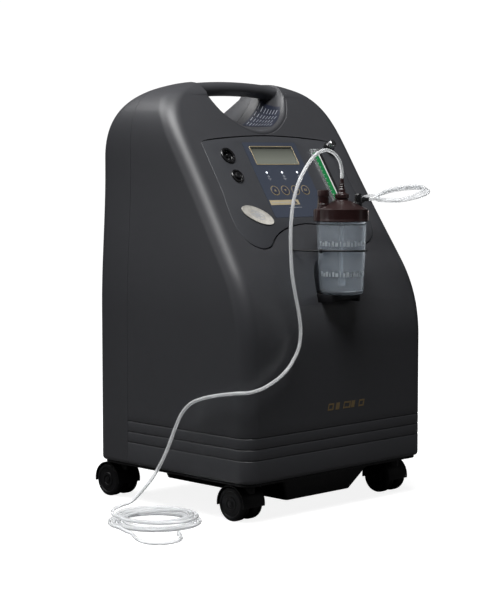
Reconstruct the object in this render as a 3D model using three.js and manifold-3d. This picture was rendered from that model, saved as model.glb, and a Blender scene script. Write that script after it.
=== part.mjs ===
// Oxygen concentrator: a cabinet on four twin-wheel casters, with a leaning control
// panel, a humidifier bottle on the front and a cannula tube coiled on the floor.
// Millimetres. +Z up, the front faces -Y, +X is to the right for someone facing the front.
import * as THREE from 'three';
import { mergeVertices } from 'three/addons/utils/BufferGeometryUtils.js';
import Module from 'manifold-3d';

const wasm = await Module();
wasm.setup();

// ---- driving dimensions ----
const gap = 0.3; // air between neighbouring pieces
const cabinet = { halfWidth: 230, topHalfWidth: 220, front: -190, rear: 205, bottom: 71, top: 760 };
const wall = 4;
const parting = 117; // where the front shell meets the rear shell
const lean = 0.65; // setback of the control face per unit of height
const leanStart = 369.5; // height where the leaning face would meet the upright one
const bendReach = 75; // how far the bend between the two reaches
const crownY = 90; // depth position of the highest line of the cabinet
const grooveHeights = [112, 131, 150];
const grooveDepth = 1.4;
const hand = { floor: 669, frontCurve: 5.5, rearCurve: 9, shoulder: 72, steepening: 27, barY: 89, barZ: 746,
  barDepth: 17, barHeight: 13 };
const niche = { radius: 48, centreY: -190, floor: 368, top: 620 };
const bottle = { y: -190, base: 383, lidBase: 509.5, lidTop: 532, lidRadius: 46, nozzleTop: 584 };
const caster = { x: 188, frontY: -150, rearY: 175, trail: 20, wheel: 30, wheelWidth: 21, hood: 33, web: 8 };
const keyPitch = 26;
const tubeRadius = 3;
const panelHeight = 560; // height of the control panel's own origin
const panelTilt = Math.PI / 2 - Math.atan(lean);
const panelY = cabinet.front + lean * (panelHeight - leanStart);
const armHeight = 547; // of the barbed arm on the bottle lid
const coil = { x: -311, y: -49, inner: 47, outer: 82, height: 18 };

// the whole machine, bottle lid to rear wheel hoods, is centred on Y = 0
const frontmost = bottle.y - bottle.lidRadius;
const rearmost = caster.rearY + caster.trail + caster.hood;
const model = new THREE.Group();
model.position.y = -(frontmost + rearmost) / 2;

// the control panel's own group: x across, y up the slope, z out of the face
const panel = new THREE.Group();
panel.position.set(0, panelY, panelHeight);
panel.rotation.x = panelTilt;
model.add(panel);

// ---- materials ----
function finish(color, roughness = 0.5, metalness = 0) {
  return new THREE.MeshStandardMaterial({ color, roughness, metalness });
}
const paint = {
  charcoal: finish(0x3a3b3f, 0.42),
  black: finish(0x111113, 0.5),
  tyre: finish(0x17171a, 0.6),
  navy: finish(0x232c40, 0.35),
  screen: finish(0x6d6f66, 0.2),
  lamp: finish(0xf2f4f8, 0.3),
  keyCap: finish(0x2b3245, 0.4),
  cream: finish(0xcfc9bb, 0.4),
  clear: finish(0xdfe6e8, 0.12),
  frosted: finish(0xb9c6cf, 0.3),
  maroon: finish(0x2c1416, 0.35),
  white: finish(0xe8e8e4, 0.4),
  steel: finish(0xb5b7ba, 0.3, 0.9),
  aluminium: finish(0x9a9c9f, 0.45, 0.8),
  foam: finish(0x2a2a2a, 0.95),
  board: finish(0x1d5a36, 0.5),
};

// ---- small helpers ----
function add(parent, name, geometry, material) {
  const mesh = new THREE.Mesh(geometry, material);
  mesh.name = name;
  parent.add(mesh);
  return mesh;
}

function solid(geometry) {
  const bare = geometry.index ? geometry.clone() : geometry;
  bare.deleteAttribute('normal');
  bare.deleteAttribute('uv');
  const merged = mergeVertices(bare, 1e-4);
  const vertProperties = new Float32Array(merged.attributes.position.array);
  const triVerts = new Uint32Array(merged.index.array);
  return new wasm.Manifold(new wasm.Mesh({ numProp: 3, vertProperties, triVerts }));
}

function geometryOf(manifold) {
  const mesh = manifold.getMesh();
  const geometry = new THREE.BufferGeometry();
  geometry.setAttribute('position', new THREE.BufferAttribute(new Float32Array(mesh.vertProperties), 3));
  geometry.setIndex(new THREE.BufferAttribute(new Uint32Array(mesh.triVerts), 1));
  return geometry;
}

// a closed solid through rings of points that all run the same way round
function loft(rings) {
  const count = rings[0].length;
  const points = rings.flat();
  const index = [];
  for (let r = 0; r + 1 < rings.length; r += 1) {
    for (let i = 0; i < count; i += 1) {
      const a = r * count + i;
      const b = r * count + ((i + 1) % count);
      index.push(a, b, b + count, a, b + count, a + count);
    }
  }
  for (const [ring, flip] of [[0, true], [rings.length - 1, false]]) {
    const middle = new THREE.Vector3();
    rings[ring].forEach((point) => middle.addScaledVector(point, 1 / count));
    points.push(middle);
    const hub = points.length - 1;
    for (let i = 0; i < count; i += 1) {
      const a = ring * count + i;
      const b = ring * count + ((i + 1) % count);
      index.push(...(flip ? [hub, b, a] : [hub, a, b]));
    }
  }
  const geometry = new THREE.BufferGeometry().setFromPoints(points);
  geometry.setIndex(index);
  return geometry;
}

function block(x0, x1, y0, y1, z0, z1) {
  return new THREE.BoxGeometry(x1 - x0, y1 - y0, z1 - z0)
    .translate((x0 + x1) / 2, (y0 + y1) / 2, (z0 + z1) / 2);
}

// an upright cylinder, or one turned to lie along X or Y
function rod(radius, length, sides, x, y, z, axis = 'z') {
  const geometry = new THREE.CylinderGeometry(radius, radius, length, sides);
  if (axis === 'z') geometry.rotateX(Math.PI / 2);
  if (axis === 'x') geometry.rotateZ(Math.PI / 2);
  return geometry.translate(x, y, z);
}

// a turned piece standing on Z, from [radius, height] pairs
function turned(profile, sides) {
  const points = profile.map(([radius, height]) => new THREE.Vector2(radius, height));
  return new THREE.LatheGeometry(points, sides).rotateX(Math.PI / 2);
}

function roundedRect(halfX, halfY, radius, x = 0, y = 0) {
  const shape = new THREE.Shape();
  const [left, right, low, high] = [x - halfX, x + halfX, y - halfY, y + halfY];
  shape.moveTo(left + radius, low);
  shape.lineTo(right - radius, low);
  shape.absarc(right - radius, low + radius, radius, -Math.PI / 2, 0);
  shape.lineTo(right, high - radius);
  shape.absarc(right - radius, high - radius, radius, 0, Math.PI / 2);
  shape.lineTo(left + radius, high);
  shape.absarc(left + radius, high - radius, radius, Math.PI / 2, Math.PI);
  shape.lineTo(left, low + radius);
  shape.absarc(left + radius, low + radius, radius, Math.PI, Math.PI * 1.5);
  return shape;
}

function plate(shape, from, to, curveSegments = 4) {
  return new THREE.ExtrudeGeometry(shape, { depth: to - from, bevelEnabled: false, curveSegments })
    .translate(0, 0, from);
}

function tube(points, radius, steps, sides = 8) {
  const path = new THREE.CatmullRomCurve3(points.map(([x, y, z]) => new THREE.Vector3(x, y, z)));
  const section = new THREE.Shape();
  section.absarc(0, 0, radius, 0, Math.PI * 2);
  // a full circle is divided into twice its number of curve segments
  const options = { steps, extrudePath: path, bevelEnabled: false, curveSegments: sides / 2 };
  return new THREE.ExtrudeGeometry(section, options);
}

// ---- cabinet outline ----
function roundOff(z, from, power, root) {
  const t = THREE.MathUtils.clamp((z - from) / (cabinet.top - from), 0, 1);
  return Math.pow(1 - Math.pow(t, power), 1 / root);
}

function halfWidthAt(z) {
  const narrowing = (cabinet.halfWidth - cabinet.topHalfWidth) * THREE.MathUtils.smoothstep(z, 350, 600);
  return (cabinet.halfWidth - narrowing) * roundOff(z, 600, 4.5, 3);
}

function frontAt(z) {
  const bendRadius = bendReach / Math.tan(Math.atan(lean) / 2);
  const bendStart = leanStart - bendReach;
  const bendEnd = leanStart + bendReach * Math.cos(Math.atan(lean));
  const crown = 18 * Math.pow(THREE.MathUtils.clamp((z - 735) / 25, 0, 1), 2);
  if (z <= bendStart) return cabinet.front;
  if (z < bendEnd) return cabinet.front + bendRadius - Math.sqrt(bendRadius ** 2 - (z - bendStart) ** 2);
  return cabinet.front + lean * (z - leanStart) + crown;
}

function rearAt(z) {
  return crownY + (cabinet.rear - crownY) * roundOff(z, 620, 2, 1.6);
}

// one horizontal section of the cabinet, drawn in by `inset`
function sectionAt(z, inset, height) {
  const half = halfWidthAt(z) - inset;
  const front = frontAt(z) + inset;
  const rear = rearAt(z) - inset;
  const frontRadius = Math.max(Math.min(29 - inset, (rear - front) * 0.46), 2);
  const rearRadius = Math.max(Math.min(28 - inset, (rear - front) * 0.46), 2);
  const corners = [
    [half - frontRadius, front + frontRadius, frontRadius, -Math.PI / 2],
    [half - rearRadius, rear - rearRadius, rearRadius, 0],
    [-half + rearRadius, rear - rearRadius, rearRadius, Math.PI / 2],
    [-half + frontRadius, front + frontRadius, frontRadius, Math.PI],
  ];
  const ring = [];
  const steps = 4;
  for (const [x, y, radius, start] of corners) {
    for (let i = 0; i <= steps; i += 1) {
      const angle = start + (i / steps) * Math.PI / 2;
      ring.push(new THREE.Vector3(x + radius * Math.cos(angle), y + radius * Math.sin(angle), height));
    }
  }
  return ring;
}

const upperLevels = [295, 345, 390, 433, 600, 650, 685, 710, 727, 740, 749, 755, 759];

function outerBody(grooved) {
  const rings = [sectionAt(cabinet.bottom, 0, cabinet.bottom)];
  if (grooved) {
    for (const z of grooveHeights) {
      rings.push(sectionAt(z, 0, z - 1.8), sectionAt(z, grooveDepth, z), sectionAt(z, 0, z + 1.8));
    }
  }
  upperLevels.forEach((z) => rings.push(sectionAt(z, 0, z)));
  return solid(loft(rings));
}

function innerBody() {
  const levels = [cabinet.bottom, ...upperLevels.filter((z) => z <= 740)];
  const rings = levels.map((z) => sectionAt(z, wall, z === cabinet.bottom ? z - 20 : z - 1.5 * wall));
  return solid(loft(rings));
}

// rise of the hand opening's floor: a parabola that steepens beyond its shoulders
function channelRise(x, curve) {
  const beyond = Math.max(Math.abs(x) - hand.shoulder, 0);
  return (curve * x * x + hand.steepening * beyond * beyond) / 1000;
}

// the hand opening: a channel from front to rear
function handChannel(outset) {
  const stations = [[-100, hand.frontCurve, 119.5], [60, hand.frontCurve, 119.5], [118, hand.rearCurve, 108],
    [260, hand.rearCurve, 108]];
  return solid(loft(stations.map(([y, curve, reach]) => {
    const ring = [];
    for (let i = 6; i >= -6; i -= 1) {
      const x = (reach * i) / 6;
      const beyond = Math.sign(x) * Math.max(Math.abs(x) - hand.shoulder, 0);
      const slope = (2 * (curve * x + hand.steepening * beyond)) / 1000;
      const length = Math.hypot(1, slope);
      const z = hand.floor + channelRise(x, curve);
      ring.push(new THREE.Vector3(x + (outset * slope) / length, y, z - outset / length));
    }
    return ring;
  })));
}

function handleBar() {
  const rings = [];
  for (let i = -5; i <= 5; i += 1) {
    const x = i * 27.3;
    const drop = 8 * (x / 129) ** 2;
    const ring = [];
    for (let k = 0; k < 12; k += 1) {
      const angle = (k / 12) * Math.PI * 2;
      const y = hand.barY + hand.barDepth * Math.cos(angle);
      ring.push(new THREE.Vector3(x, y, hand.barZ - drop + hand.barHeight * Math.sin(angle)));
    }
    rings.push(ring);
  }
  return solid(loft(rings)).intersect(solid(block(-135.7, 135.7, 60, 116, 700, 780)));
}

function nicheSpace(outset) {
  const height = niche.top - niche.floor + outset;
  return solid(rod(niche.radius + outset, height, 36, 0, niche.centreY, niche.floor - outset + height / 2));
}

// ---- control panel outline, in the panel's own axes ----
function bezelShape(grow) {
  const shape = new THREE.Shape();
  shape.moveTo(0, -67 - grow);
  shape.quadraticCurveTo(72, -70 - grow, 104 - grow, -105 - grow);
  shape.quadraticCurveTo(114, -114 - grow, 130, -114 - grow);
  shape.quadraticCurveTo(172 + grow, -106 - grow, 174 + grow, -62);
  shape.quadraticCurveTo(174 + grow, -30, 168 + grow, 0);
  shape.lineTo(167 + grow, 100 + grow);
  shape.quadraticCurveTo(166, 106 + grow, 158, 107 + grow);
  shape.quadraticCurveTo(80, 117 + grow, 0, 118 + grow);
  shape.quadraticCurveTo(-80, 117 + grow, -158, 107 + grow);
  shape.quadraticCurveTo(-166, 106 + grow, -167 - grow, 100 + grow);
  shape.lineTo(-168 - grow, 0);
  shape.quadraticCurveTo(-174 - grow, -30, -174 - grow, -62);
  shape.quadraticCurveTo(-172 - grow, -106 - grow, -130, -114 - grow);
  shape.quadraticCurveTo(-114, -114 - grow, -104 + grow, -105 - grow);
  shape.quadraticCurveTo(-72, -70 - grow, 0, -67 - grow);
  return shape;
}

function inPanel(manifoldGeometry) {
  panel.updateMatrix();
  return solid(manifoldGeometry.applyMatrix4(panel.matrix));
}

const overlay = { halfX: 68, low: -54, high: 104 };
const screen = { halfX: 53, low: 58, high: 94 };
const lampX = [-39, 0, 39];
const lampY = 40;
const keyX = [-1.5, -0.5, 0.5, 1.5].map((step) => step * keyPitch);
const keyY = 2;
const keyRadius = 8;
const nebulizer = { x: -117, y: 76, radius: 16 };
const breaker = { x: -116, y: 33, radius: 13.5 };
const meter = { x: 110, low: -26, high: 88, halfX: 12 };
const knob = { x: 150, y: 92 };
const outlet = { x: 118, y: -46 };

// ---- shells ----
function buildShells() {
  const hollow = innerBody().subtract(handChannel(wall)).subtract(nicheSpace(wall));
  const channel = handChannel(0);
  const space = nicheSpace(0);
  const bezelHole = inPanel(plate(bezelShape(0.8), -16, 16, 2));

  let front = outerBody(true).subtract(hollow).subtract(channel).subtract(space);
  front = front.intersect(solid(block(-300, 300, -300, parting - 0.2, 0, 900)));
  front = front.add(handleBar()).subtract(bezelHole);
  for (const side of [-1, 1]) front = front.subtract(solid(rod(2.2, 30, 8, side * 62, -139, 459, 'y')));
  add(model, 'front_shell', geometryOf(front), paint.charcoal);

  let rear = outerBody(false).subtract(hollow).subtract(channel);
  rear = rear.intersect(solid(block(-300, 300, parting + 0.2, 300, 0, 900)));
  rear = rear.subtract(solid(block(-82, 82, 190, 220, 400, 540)));
  rear = rear.subtract(solid(block(95, 145, 190, 220, 120, 154)));
  for (let i = 0; i < 6; i += 1) {
    rear = rear.subtract(solid(block(-150, -30, 190, 220, 120 + i * 14, 126 + i * 14)));
  }
  add(model, 'rear_shell', geometryOf(rear), paint.charcoal);
}

// ---- base ----
function buildBase() {
  const flangeBottom = 66;
  const inset = 7;
  const edge = [cabinet.bottom, cabinet.bottom].map((z, i) => sectionAt(z, inset, flangeBottom + i * 4.5));
  let pan = solid(loft(edge));
  const tub = (z, left, right, front, rear) => [[left, front], [right, front], [right, rear], [left, rear]]
    .map(([x, y]) => new THREE.Vector3(x, y, z));
  pan = pan.add(solid(loft([tub(26, -106, 58, -160, 150), tub(67, -124, 104, -168, 158)])));
  pan = pan.subtract(solid(loft([tub(30, -102, 54, -156, 146), tub(80, -122, 102, -166, 156)])));
  for (const x of [-caster.x, caster.x]) {
    for (const y of [caster.frontY, caster.rearY]) pan = pan.subtract(solid(rod(5.6, 20, 12, x, y, 68)));
  }
  add(model, 'base_pan', geometryOf(pan), paint.black);
}

// ---- control panel ----
function buildPanel() {
  let bezel = solid(plate(bezelShape(0), -3.6, 0, 2));
  const middleY = (overlay.low + overlay.high) / 2;
  const halfY = (overlay.high - overlay.low) / 2;
  const screenY = (screen.low + screen.high) / 2;
  const screenHalfY = (screen.high - screen.low) / 2;
  const meterY = (meter.low + meter.high) / 2;
  const meterHalfY = (meter.high - meter.low) / 2;
  const pocket = roundedRect(overlay.halfX + gap, halfY + gap, 3, 0, middleY);
  bezel = bezel.subtract(solid(plate(pocket, -1.2, 5, 2)));
  bezel = bezel.subtract(solid(block(-screen.halfX - 1, screen.halfX + 1, screen.low - 1, screen.high + 1, -9, 9)));
  for (const x of keyX) bezel = bezel.subtract(solid(rod(keyRadius + 0.6, 20, 16, x, keyY, 0)));
  for (const x of lampX) bezel = bezel.subtract(solid(rod(2.6, 20, 8, x, lampY, 0)));
  bezel = bezel.subtract(solid(rod(nebulizer.radius - 1.5, 20, 20, nebulizer.x, nebulizer.y, 0)));
  bezel = bezel.subtract(solid(rod(breaker.radius - 1.5, 20, 20, breaker.x, breaker.y, 0)));
  bezel = bezel.subtract(solid(plate(roundedRect(meter.halfX + 0.4, meterHalfY + 0.4, 2, meter.x, meterY), -9, 9, 2)));
  bezel = bezel.subtract(solid(rod(4, 20, 10, knob.x, knob.y, 0)));
  bezel = bezel.subtract(solid(rod(5, 20, 10, outlet.x, outlet.y, 0)));
  add(panel, 'control_bezel', geometryOf(bezel), paint.charcoal);

  let sheet = solid(plate(roundedRect(overlay.halfX, halfY, 3, 0, middleY), -0.8, 0.4, 2));
  const screenCut = screen.halfX + gap;
  sheet = sheet.subtract(solid(block(-screenCut, screenCut, screen.low - gap, screen.high + gap, -9, 9)));
  for (const x of keyX) sheet = sheet.subtract(solid(rod(keyRadius + 0.4, 20, 16, x, keyY, 0)));
  for (const x of lampX) sheet = sheet.subtract(solid(rod(2.4, 20, 8, x, lampY, 0)));
  add(panel, 'panel_overlay', geometryOf(sheet), paint.navy);

  add(panel, 'lcd_window', plate(roundedRect(screen.halfX, screenHalfY, 1.5, 0, screenY), -2.4, 0.6, 2), paint.screen);
  lampX.forEach((x, i) => add(panel, `status_lamp_${i + 1}`, rod(2, 3.4, 8, x, lampY, -0.8), paint.lamp));
  keyX.forEach((x, i) => {
    add(panel, `key_${i + 1}`, rod(keyRadius, 4.4, 16, x, keyY, -1), paint.keyCap);
  });

  const badge = new THREE.CylinderGeometry(1, 1, 1.6, 24).rotateX(Math.PI / 2);
  badge.scale(35, 15.5, 1).rotateZ(-0.42).translate(-110, -48, 1.2);
  add(panel, 'oval_badge', badge, paint.cream);
  buildPorts();
  buildFlowMeter();
}

function buildPorts() {
  const profile = [[4, -12], [12, -12], [12, -4.2], [14, -4.2], [14, 0.4], [16, 0.4], [16, 2.2], [14.6, 3.2],
    [11.4, 3.2], [10.4, -8], [4, -8]];
  const port = turned([...profile, profile[0]], 16).translate(nebulizer.x, nebulizer.y, 0);
  const nipple = turned([[1.6, -9], [3.4, -9], [3.4, 1], [2.6, 2.4], [1.6, 2.4], [1.6, -9]], 8);
  const bridge = turned([[1.6, -12], [6, -12], [6, -7.5], [1.6, -7.5], [1.6, -12]], 8);
  let ports = solid(port).add(solid(nipple.translate(nebulizer.x, nebulizer.y, 0)));
  ports = ports.add(solid(bridge.translate(nebulizer.x, nebulizer.y, 0)));
  add(panel, 'nebulizer_port', geometryOf(ports), paint.black);

  const collar = [[6.6, -10], [11.5, -10], [11.5, 0.4], [13.5, 0.4], [13.5, 2], [12.3, 2.8], [9.6, 2.8], [8.6, 0.6],
    [6.6, 0.6], [6.6, -10]];
  add(panel, 'breaker_collar', turned(collar, 16).translate(breaker.x, breaker.y, 0), paint.black);
  const button = turned([[0, -14], [6.2, -14], [6.2, 3.4], [5.2, 4.4], [0, 4.4]], 16);
  add(panel, 'breaker_button', button.translate(breaker.x, breaker.y, 0), paint.black);

  const barb = [[1.6, -12], [4.6, -12], [4.6, 0.4], [8, 0.4], [8, 5], [4, 6], [4, 11], [3.2, 12], [3.8, 13.5],
    [2.6, 23], [1.6, 23], [1.6, -12]];
  add(panel, 'oxygen_outlet', turned(barb, 12).translate(outlet.x, outlet.y, 0), paint.steel);
}

function buildFlowMeter() {
  const middle = (meter.low + meter.high) / 2;
  const half = (meter.high - meter.low) / 2;
  let body = solid(plate(roundedRect(meter.halfX, half, 1.5, meter.x, middle), -16, 5, 2));
  // the float's bore runs up the block and opens at its top end
  body = body.subtract(solid(rod(4, 112, 14, meter.x, meter.low + 6 + 56, -4, 'y')));
  add(panel, 'flow_meter_block', geometryOf(body), paint.clear);
  const ball = new THREE.SphereGeometry(3.2, 12, 8);
  add(panel, 'flow_float', ball.translate(meter.x, meter.low + 6 + 3.8, -4), paint.steel);

  const shape = [[0, -14], [3.6, -14], [3.6, 1], [9.5, 1.2], [10, 4], [9.6, 10], [8.4, 11], [7.6, 18], [6.6, 19.6],
    [0, 20]];
  add(panel, 'flow_knob', turned(shape, 16).translate(knob.x, knob.y, 0), paint.black);
}

// ---- humidifier ----
function buildHumidifier() {
  const { base, lidBase, lidTop, lidRadius, nozzleTop } = bottle;
  const neck = 40.4;
  const jar = turned([[0, base], [34, base], [37, base + 1.2], [38.4, base + 5], [43.8, lidBase - 2.5],
    [43.8, lidBase - 0.6], [neck, lidBase - 0.6], [neck, 522], [neck - 2, 522], [neck - 2, lidBase - 2.5],
    [41.8, lidBase - 4], [36.4, base + 6], [34, base + 3], [0, base + 3]], 28).translate(0, bottle.y, 0);
  add(model, 'humidifier_jar', jar, paint.frosted);

  const profile = [[neck + 0.6, lidBase], [lidRadius, lidBase], [lidRadius, lidTop - 2], [lidRadius - 2, lidTop],
    [30, 538], [16, 545], [12.5, 546], [12.5, 557], [7, 559], [6.4, 566], [4.6, 567], [5, 570], [3.6, 576], [4, 578],
    [2.8, nozzleTop], [1.4, nozzleTop], [1.4, 534], [14, 531], [38, 523.6], [neck + 0.6, 523.6],
    [neck + 0.6, lidBase]];
  const place = (geometry, x, y) => solid(geometry.translate(x, bottle.y + y, 0));
  let lid = place(turned(profile, 24), 0, 0);
  const turret = [[0, 524], [11, 524], [11, 535], [10, 536], [10, 563], [9, 564.5], [0, 564.5]];
  lid = lid.add(place(turned(turret, 12), -30, 16));
  lid = lid.add(place(turned([[0, lidBase], [13, lidBase], [13, lidTop - 3], [11, lidTop], [0, lidTop]], 12), -34, 18));
  lid = lid.subtract(place(rod(neck + 0.6, 20, 24, 0, 0, 513.6), 0, 0));
  lid = lid.subtract(place(rod(6.8, 30, 12, 0, 0, 545.5), 27, -14));
  lid = lid.subtract(place(rod(3.6, 12, 12, 0, 0, 530), 0, 0));
  add(model, 'humidifier_lid', geometryOf(lid), paint.maroon);

  // a riser out of the lid and a level barbed arm towards +X
  let elbow = place(rod(6.4, 27, 12, 0, 0, 544.5), 27, -14);
  elbow = elbow.add(place(rod(5.4, 16, 12, 33, 0, armHeight, 'x'), 0, -14));
  elbow = elbow.add(place(rod(3.4, 14, 12, 47, 0, armHeight, 'x'), 0, -14));
  add(model, 'lid_elbow', geometryOf(elbow), paint.maroon);

  const dip = [[1.4, 396], [7, 396], [7, 407], [5.4, 410], [3.2, 411], [3.2, 533], [1.4, 533], [1.4, 396]];
  add(model, 'dip_tube', turned(dip, 14).translate(0, bottle.y, 0), paint.white);

  const ledge = plate(roundedRect(39, 36, 5, 0, -166), niche.floor + 0.4, base - 0.4, 3);
  const shelf = solid(ledge).intersect(nicheSpace(-0.5));
  add(model, 'bottle_shelf', geometryOf(shelf), paint.black);
  buildStrap();
}

// an elastic band round the front of the jar, hooked into the niche wall at both ends
function buildStrap() {
  const height = 459;
  const reach = 44.3;
  const points = [[62, bottle.y + 62, height], [61, bottle.y + 46, height], [57, bottle.y + 26, height]];
  for (let i = 0; i <= 8; i += 1) {
    const angle = 0.12 - (i / 8) * (Math.PI + 0.24);
    points.push([reach * Math.cos(angle), bottle.y + reach * Math.sin(angle), height]);
  }
  points.push([-57, bottle.y + 26, height], [-61, bottle.y + 46, height], [-62, bottle.y + 62, height]);
  add(model, 'bottle_strap', tube(points, 1.6, 40, 6), paint.black);
}

// ---- casters ----
function wheelGeometry() {
  const half = caster.wheelWidth / 2;
  const radius = caster.wheel;
  return turned([[3.5, -half], [radius - 5, -half], [radius, -half + 5], [radius, half - 5], [radius - 5, half],
    [3.5, half], [3.5, -half]], 20);
}

function casterBody() {
  const reach = caster.web / 2 + caster.wheelWidth + 1.2;
  const arch = new THREE.Shape();
  arch.absarc(0, 0, caster.hood, 0, Math.PI);
  arch.absarc(0, 0, caster.wheel + 1.2, Math.PI, 0, true);
  const across = (geometry) => geometry.rotateX(Math.PI / 2).rotateZ(Math.PI / 2);
  let body = solid(across(plate(arch, -reach, reach, 4)));
  const web = new THREE.Shape();
  web.absarc(0, 0, caster.wheel + 2, 0, Math.PI);
  web.absarc(0, 0, 12, Math.PI, Math.PI * 2);
  body = body.add(solid(across(plate(web, -caster.web / 2, caster.web / 2, 4))));
  body = body.add(solid(rod(3.2, 2 * reach, 8, 0, 0, 0, 'x')));
  body = body.translate(0, caster.trail, caster.wheel);
  body = body.add(solid(rod(10, 14, 12, 0, 0, 57.5))).add(solid(rod(5, 24, 10, 0, 0, 70)));
  const keepOut = solid(rod(caster.wheel + 1.2, 2 * reach + 4, 16, 0, caster.trail, caster.wheel, 'x'))
    .subtract(solid(block(-caster.web / 2, caster.web / 2, -60, 80, -10, 90)))
    .subtract(solid(rod(3.2, 100, 8, 0, caster.trail, caster.wheel, 'x')));
  return geometryOf(body.subtract(keepOut));
}

function buildCasters() {
  const body = casterBody();
  const places = [['front_left', -1, caster.frontY], ['front_right', 1, caster.frontY],
    ['rear_left', -1, caster.rearY], ['rear_right', 1, caster.rearY]];
  const offset = caster.web / 2 + 0.6 + caster.wheelWidth / 2;
  for (const [name, side, y] of places) {
    const group = new THREE.Group();
    group.position.set(side * caster.x, y, 0);
    model.add(group);
    add(group, `caster_${name}`, body.clone(), paint.black);
    for (const [letter, way] of [['a', -1], ['b', 1]]) {
      const wheel = wheelGeometry().rotateY(Math.PI / 2).translate(way * offset, caster.trail, caster.wheel);
      add(group, `wheel_${name}_${letter}`, wheel, paint.tyre);
    }
  }
}

// ---- back and inside ----
function buildRear() {
  let door = solid(plate(roundedRect(81, 69, 6), 0, 4, 3));
  for (let i = 0; i < 7; i += 1) door = door.subtract(solid(block(-62, 62, -50 + i * 15, -43 + i * 15, -2, 8)));
  door = door.rotate([90, 0, 0]).translate([0, cabinet.rear + 1, 470]);
  add(model, 'filter_door', geometryOf(door), paint.charcoal);
  add(model, 'foam_filter', block(-66, 66, 190, 200.6, 414, 526), paint.foam);

  let inlet = solid(block(96, 144, 180, cabinet.rear + 1.5, 121, 153));
  inlet = inlet.subtract(solid(block(106, 134, 188, 220, 127, 147)));
  for (const [x, z] of [[111, 134], [129, 134], [120, 141]]) {
    inlet = inlet.add(solid(block(x - 1, x + 1, 186, 202, z - 2.5, z + 2.5)));
  }
  add(model, 'power_inlet', geometryOf(inlet), paint.black);
}

function buildInside() {
  let pump = solid(rod(62, 130, 20, 0, -20, 150, 'x'));
  for (const side of [-1, 1]) {
    pump = pump.add(solid(block(side * 75 - 30, side * 75 + 30, -60, 20, 96, 214)));
    pump = pump.add(solid(block(side * 75 - 34, side * 75 + 34, -66, 26, 206, 222)));
  }
  pump = pump.add(solid(block(-80, 80, -70, 30, 88, 100)));
  pump = pump.translate([-14, 0, 0]);
  add(model, 'compressor', geometryOf(pump), paint.aluminium);
  let number = 1;
  for (const x of [-84, 36]) {
    for (const y of [-60, 20]) {
      const mount = turned([[0, 30.4], [9, 30.4], [7, 45], [9, 59], [7, 73], [9, 87.6], [0, 87.6]], 12);
      add(model, `pump_mount_${number}`, mount.translate(x, y, 0), paint.foam);
      number += 1;
    }
  }

  let frame = solid(block(-60, 60, -80, 40, 240, 266)).subtract(solid(rod(56, 40, 28, 0, -20, 253)));
  for (const turn of [0, 90]) {
    frame = frame.add(solid(block(-58, 58, -3, 3, 240, 243).rotateZ(THREE.MathUtils.degToRad(turn))
      .translate(0, -20, 0)));
  }
  add(model, 'fan_frame', geometryOf(frame), paint.black);
  let rotor = solid(turned([[0, 244], [18, 244], [18, 262], [16, 264], [0, 264]], 18));
  for (let i = 0; i < 7; i += 1) {
    const blade = block(14, 53, -9, 9, -1, 1).rotateX(0.6).translate(0, 0, 254);
    rotor = rotor.add(solid(blade.rotateZ((i / 7) * Math.PI * 2)));
  }
  add(model, 'fan_rotor', geometryOf(rotor.translate([0, -20, 0])), paint.black);

  for (const [name, side] of [['left', -1], ['right', 1]]) {
    const bed = turned([[0, 78], [42, 78], [42, 88], [39, 90], [39, 400], [42, 402], [42, 412], [0, 412]], 20);
    add(model, `sieve_bed_${name}`, bed.translate(side * 155, 70, 0), paint.aluminium);
  }
  const tank = turned([[0, 78], [30, 84], [38, 96], [38, 330], [30, 342], [0, 348]], 20);
  add(model, 'product_tank', tank.translate(30, 110, 0), paint.white);
  let valve = solid(block(-70, 70, 46, 94, 420, 450));
  for (const x of [-50, 0, 50]) valve = valve.add(solid(rod(14, 40, 14, x, 70, 466)));
  add(model, 'valve_manifold', geometryOf(valve), paint.aluminium);
  add(model, 'intake_muffler', turned([[0, 250], [26, 250], [30, 256], [30, 350], [26, 356], [8, 358], [8, 372],
    [0, 372]], 18).translate(-130, -110, 0), paint.black);
  add(panel, 'control_board', block(-62, 62, -50, 100, -30, -26), paint.board);
}

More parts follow.
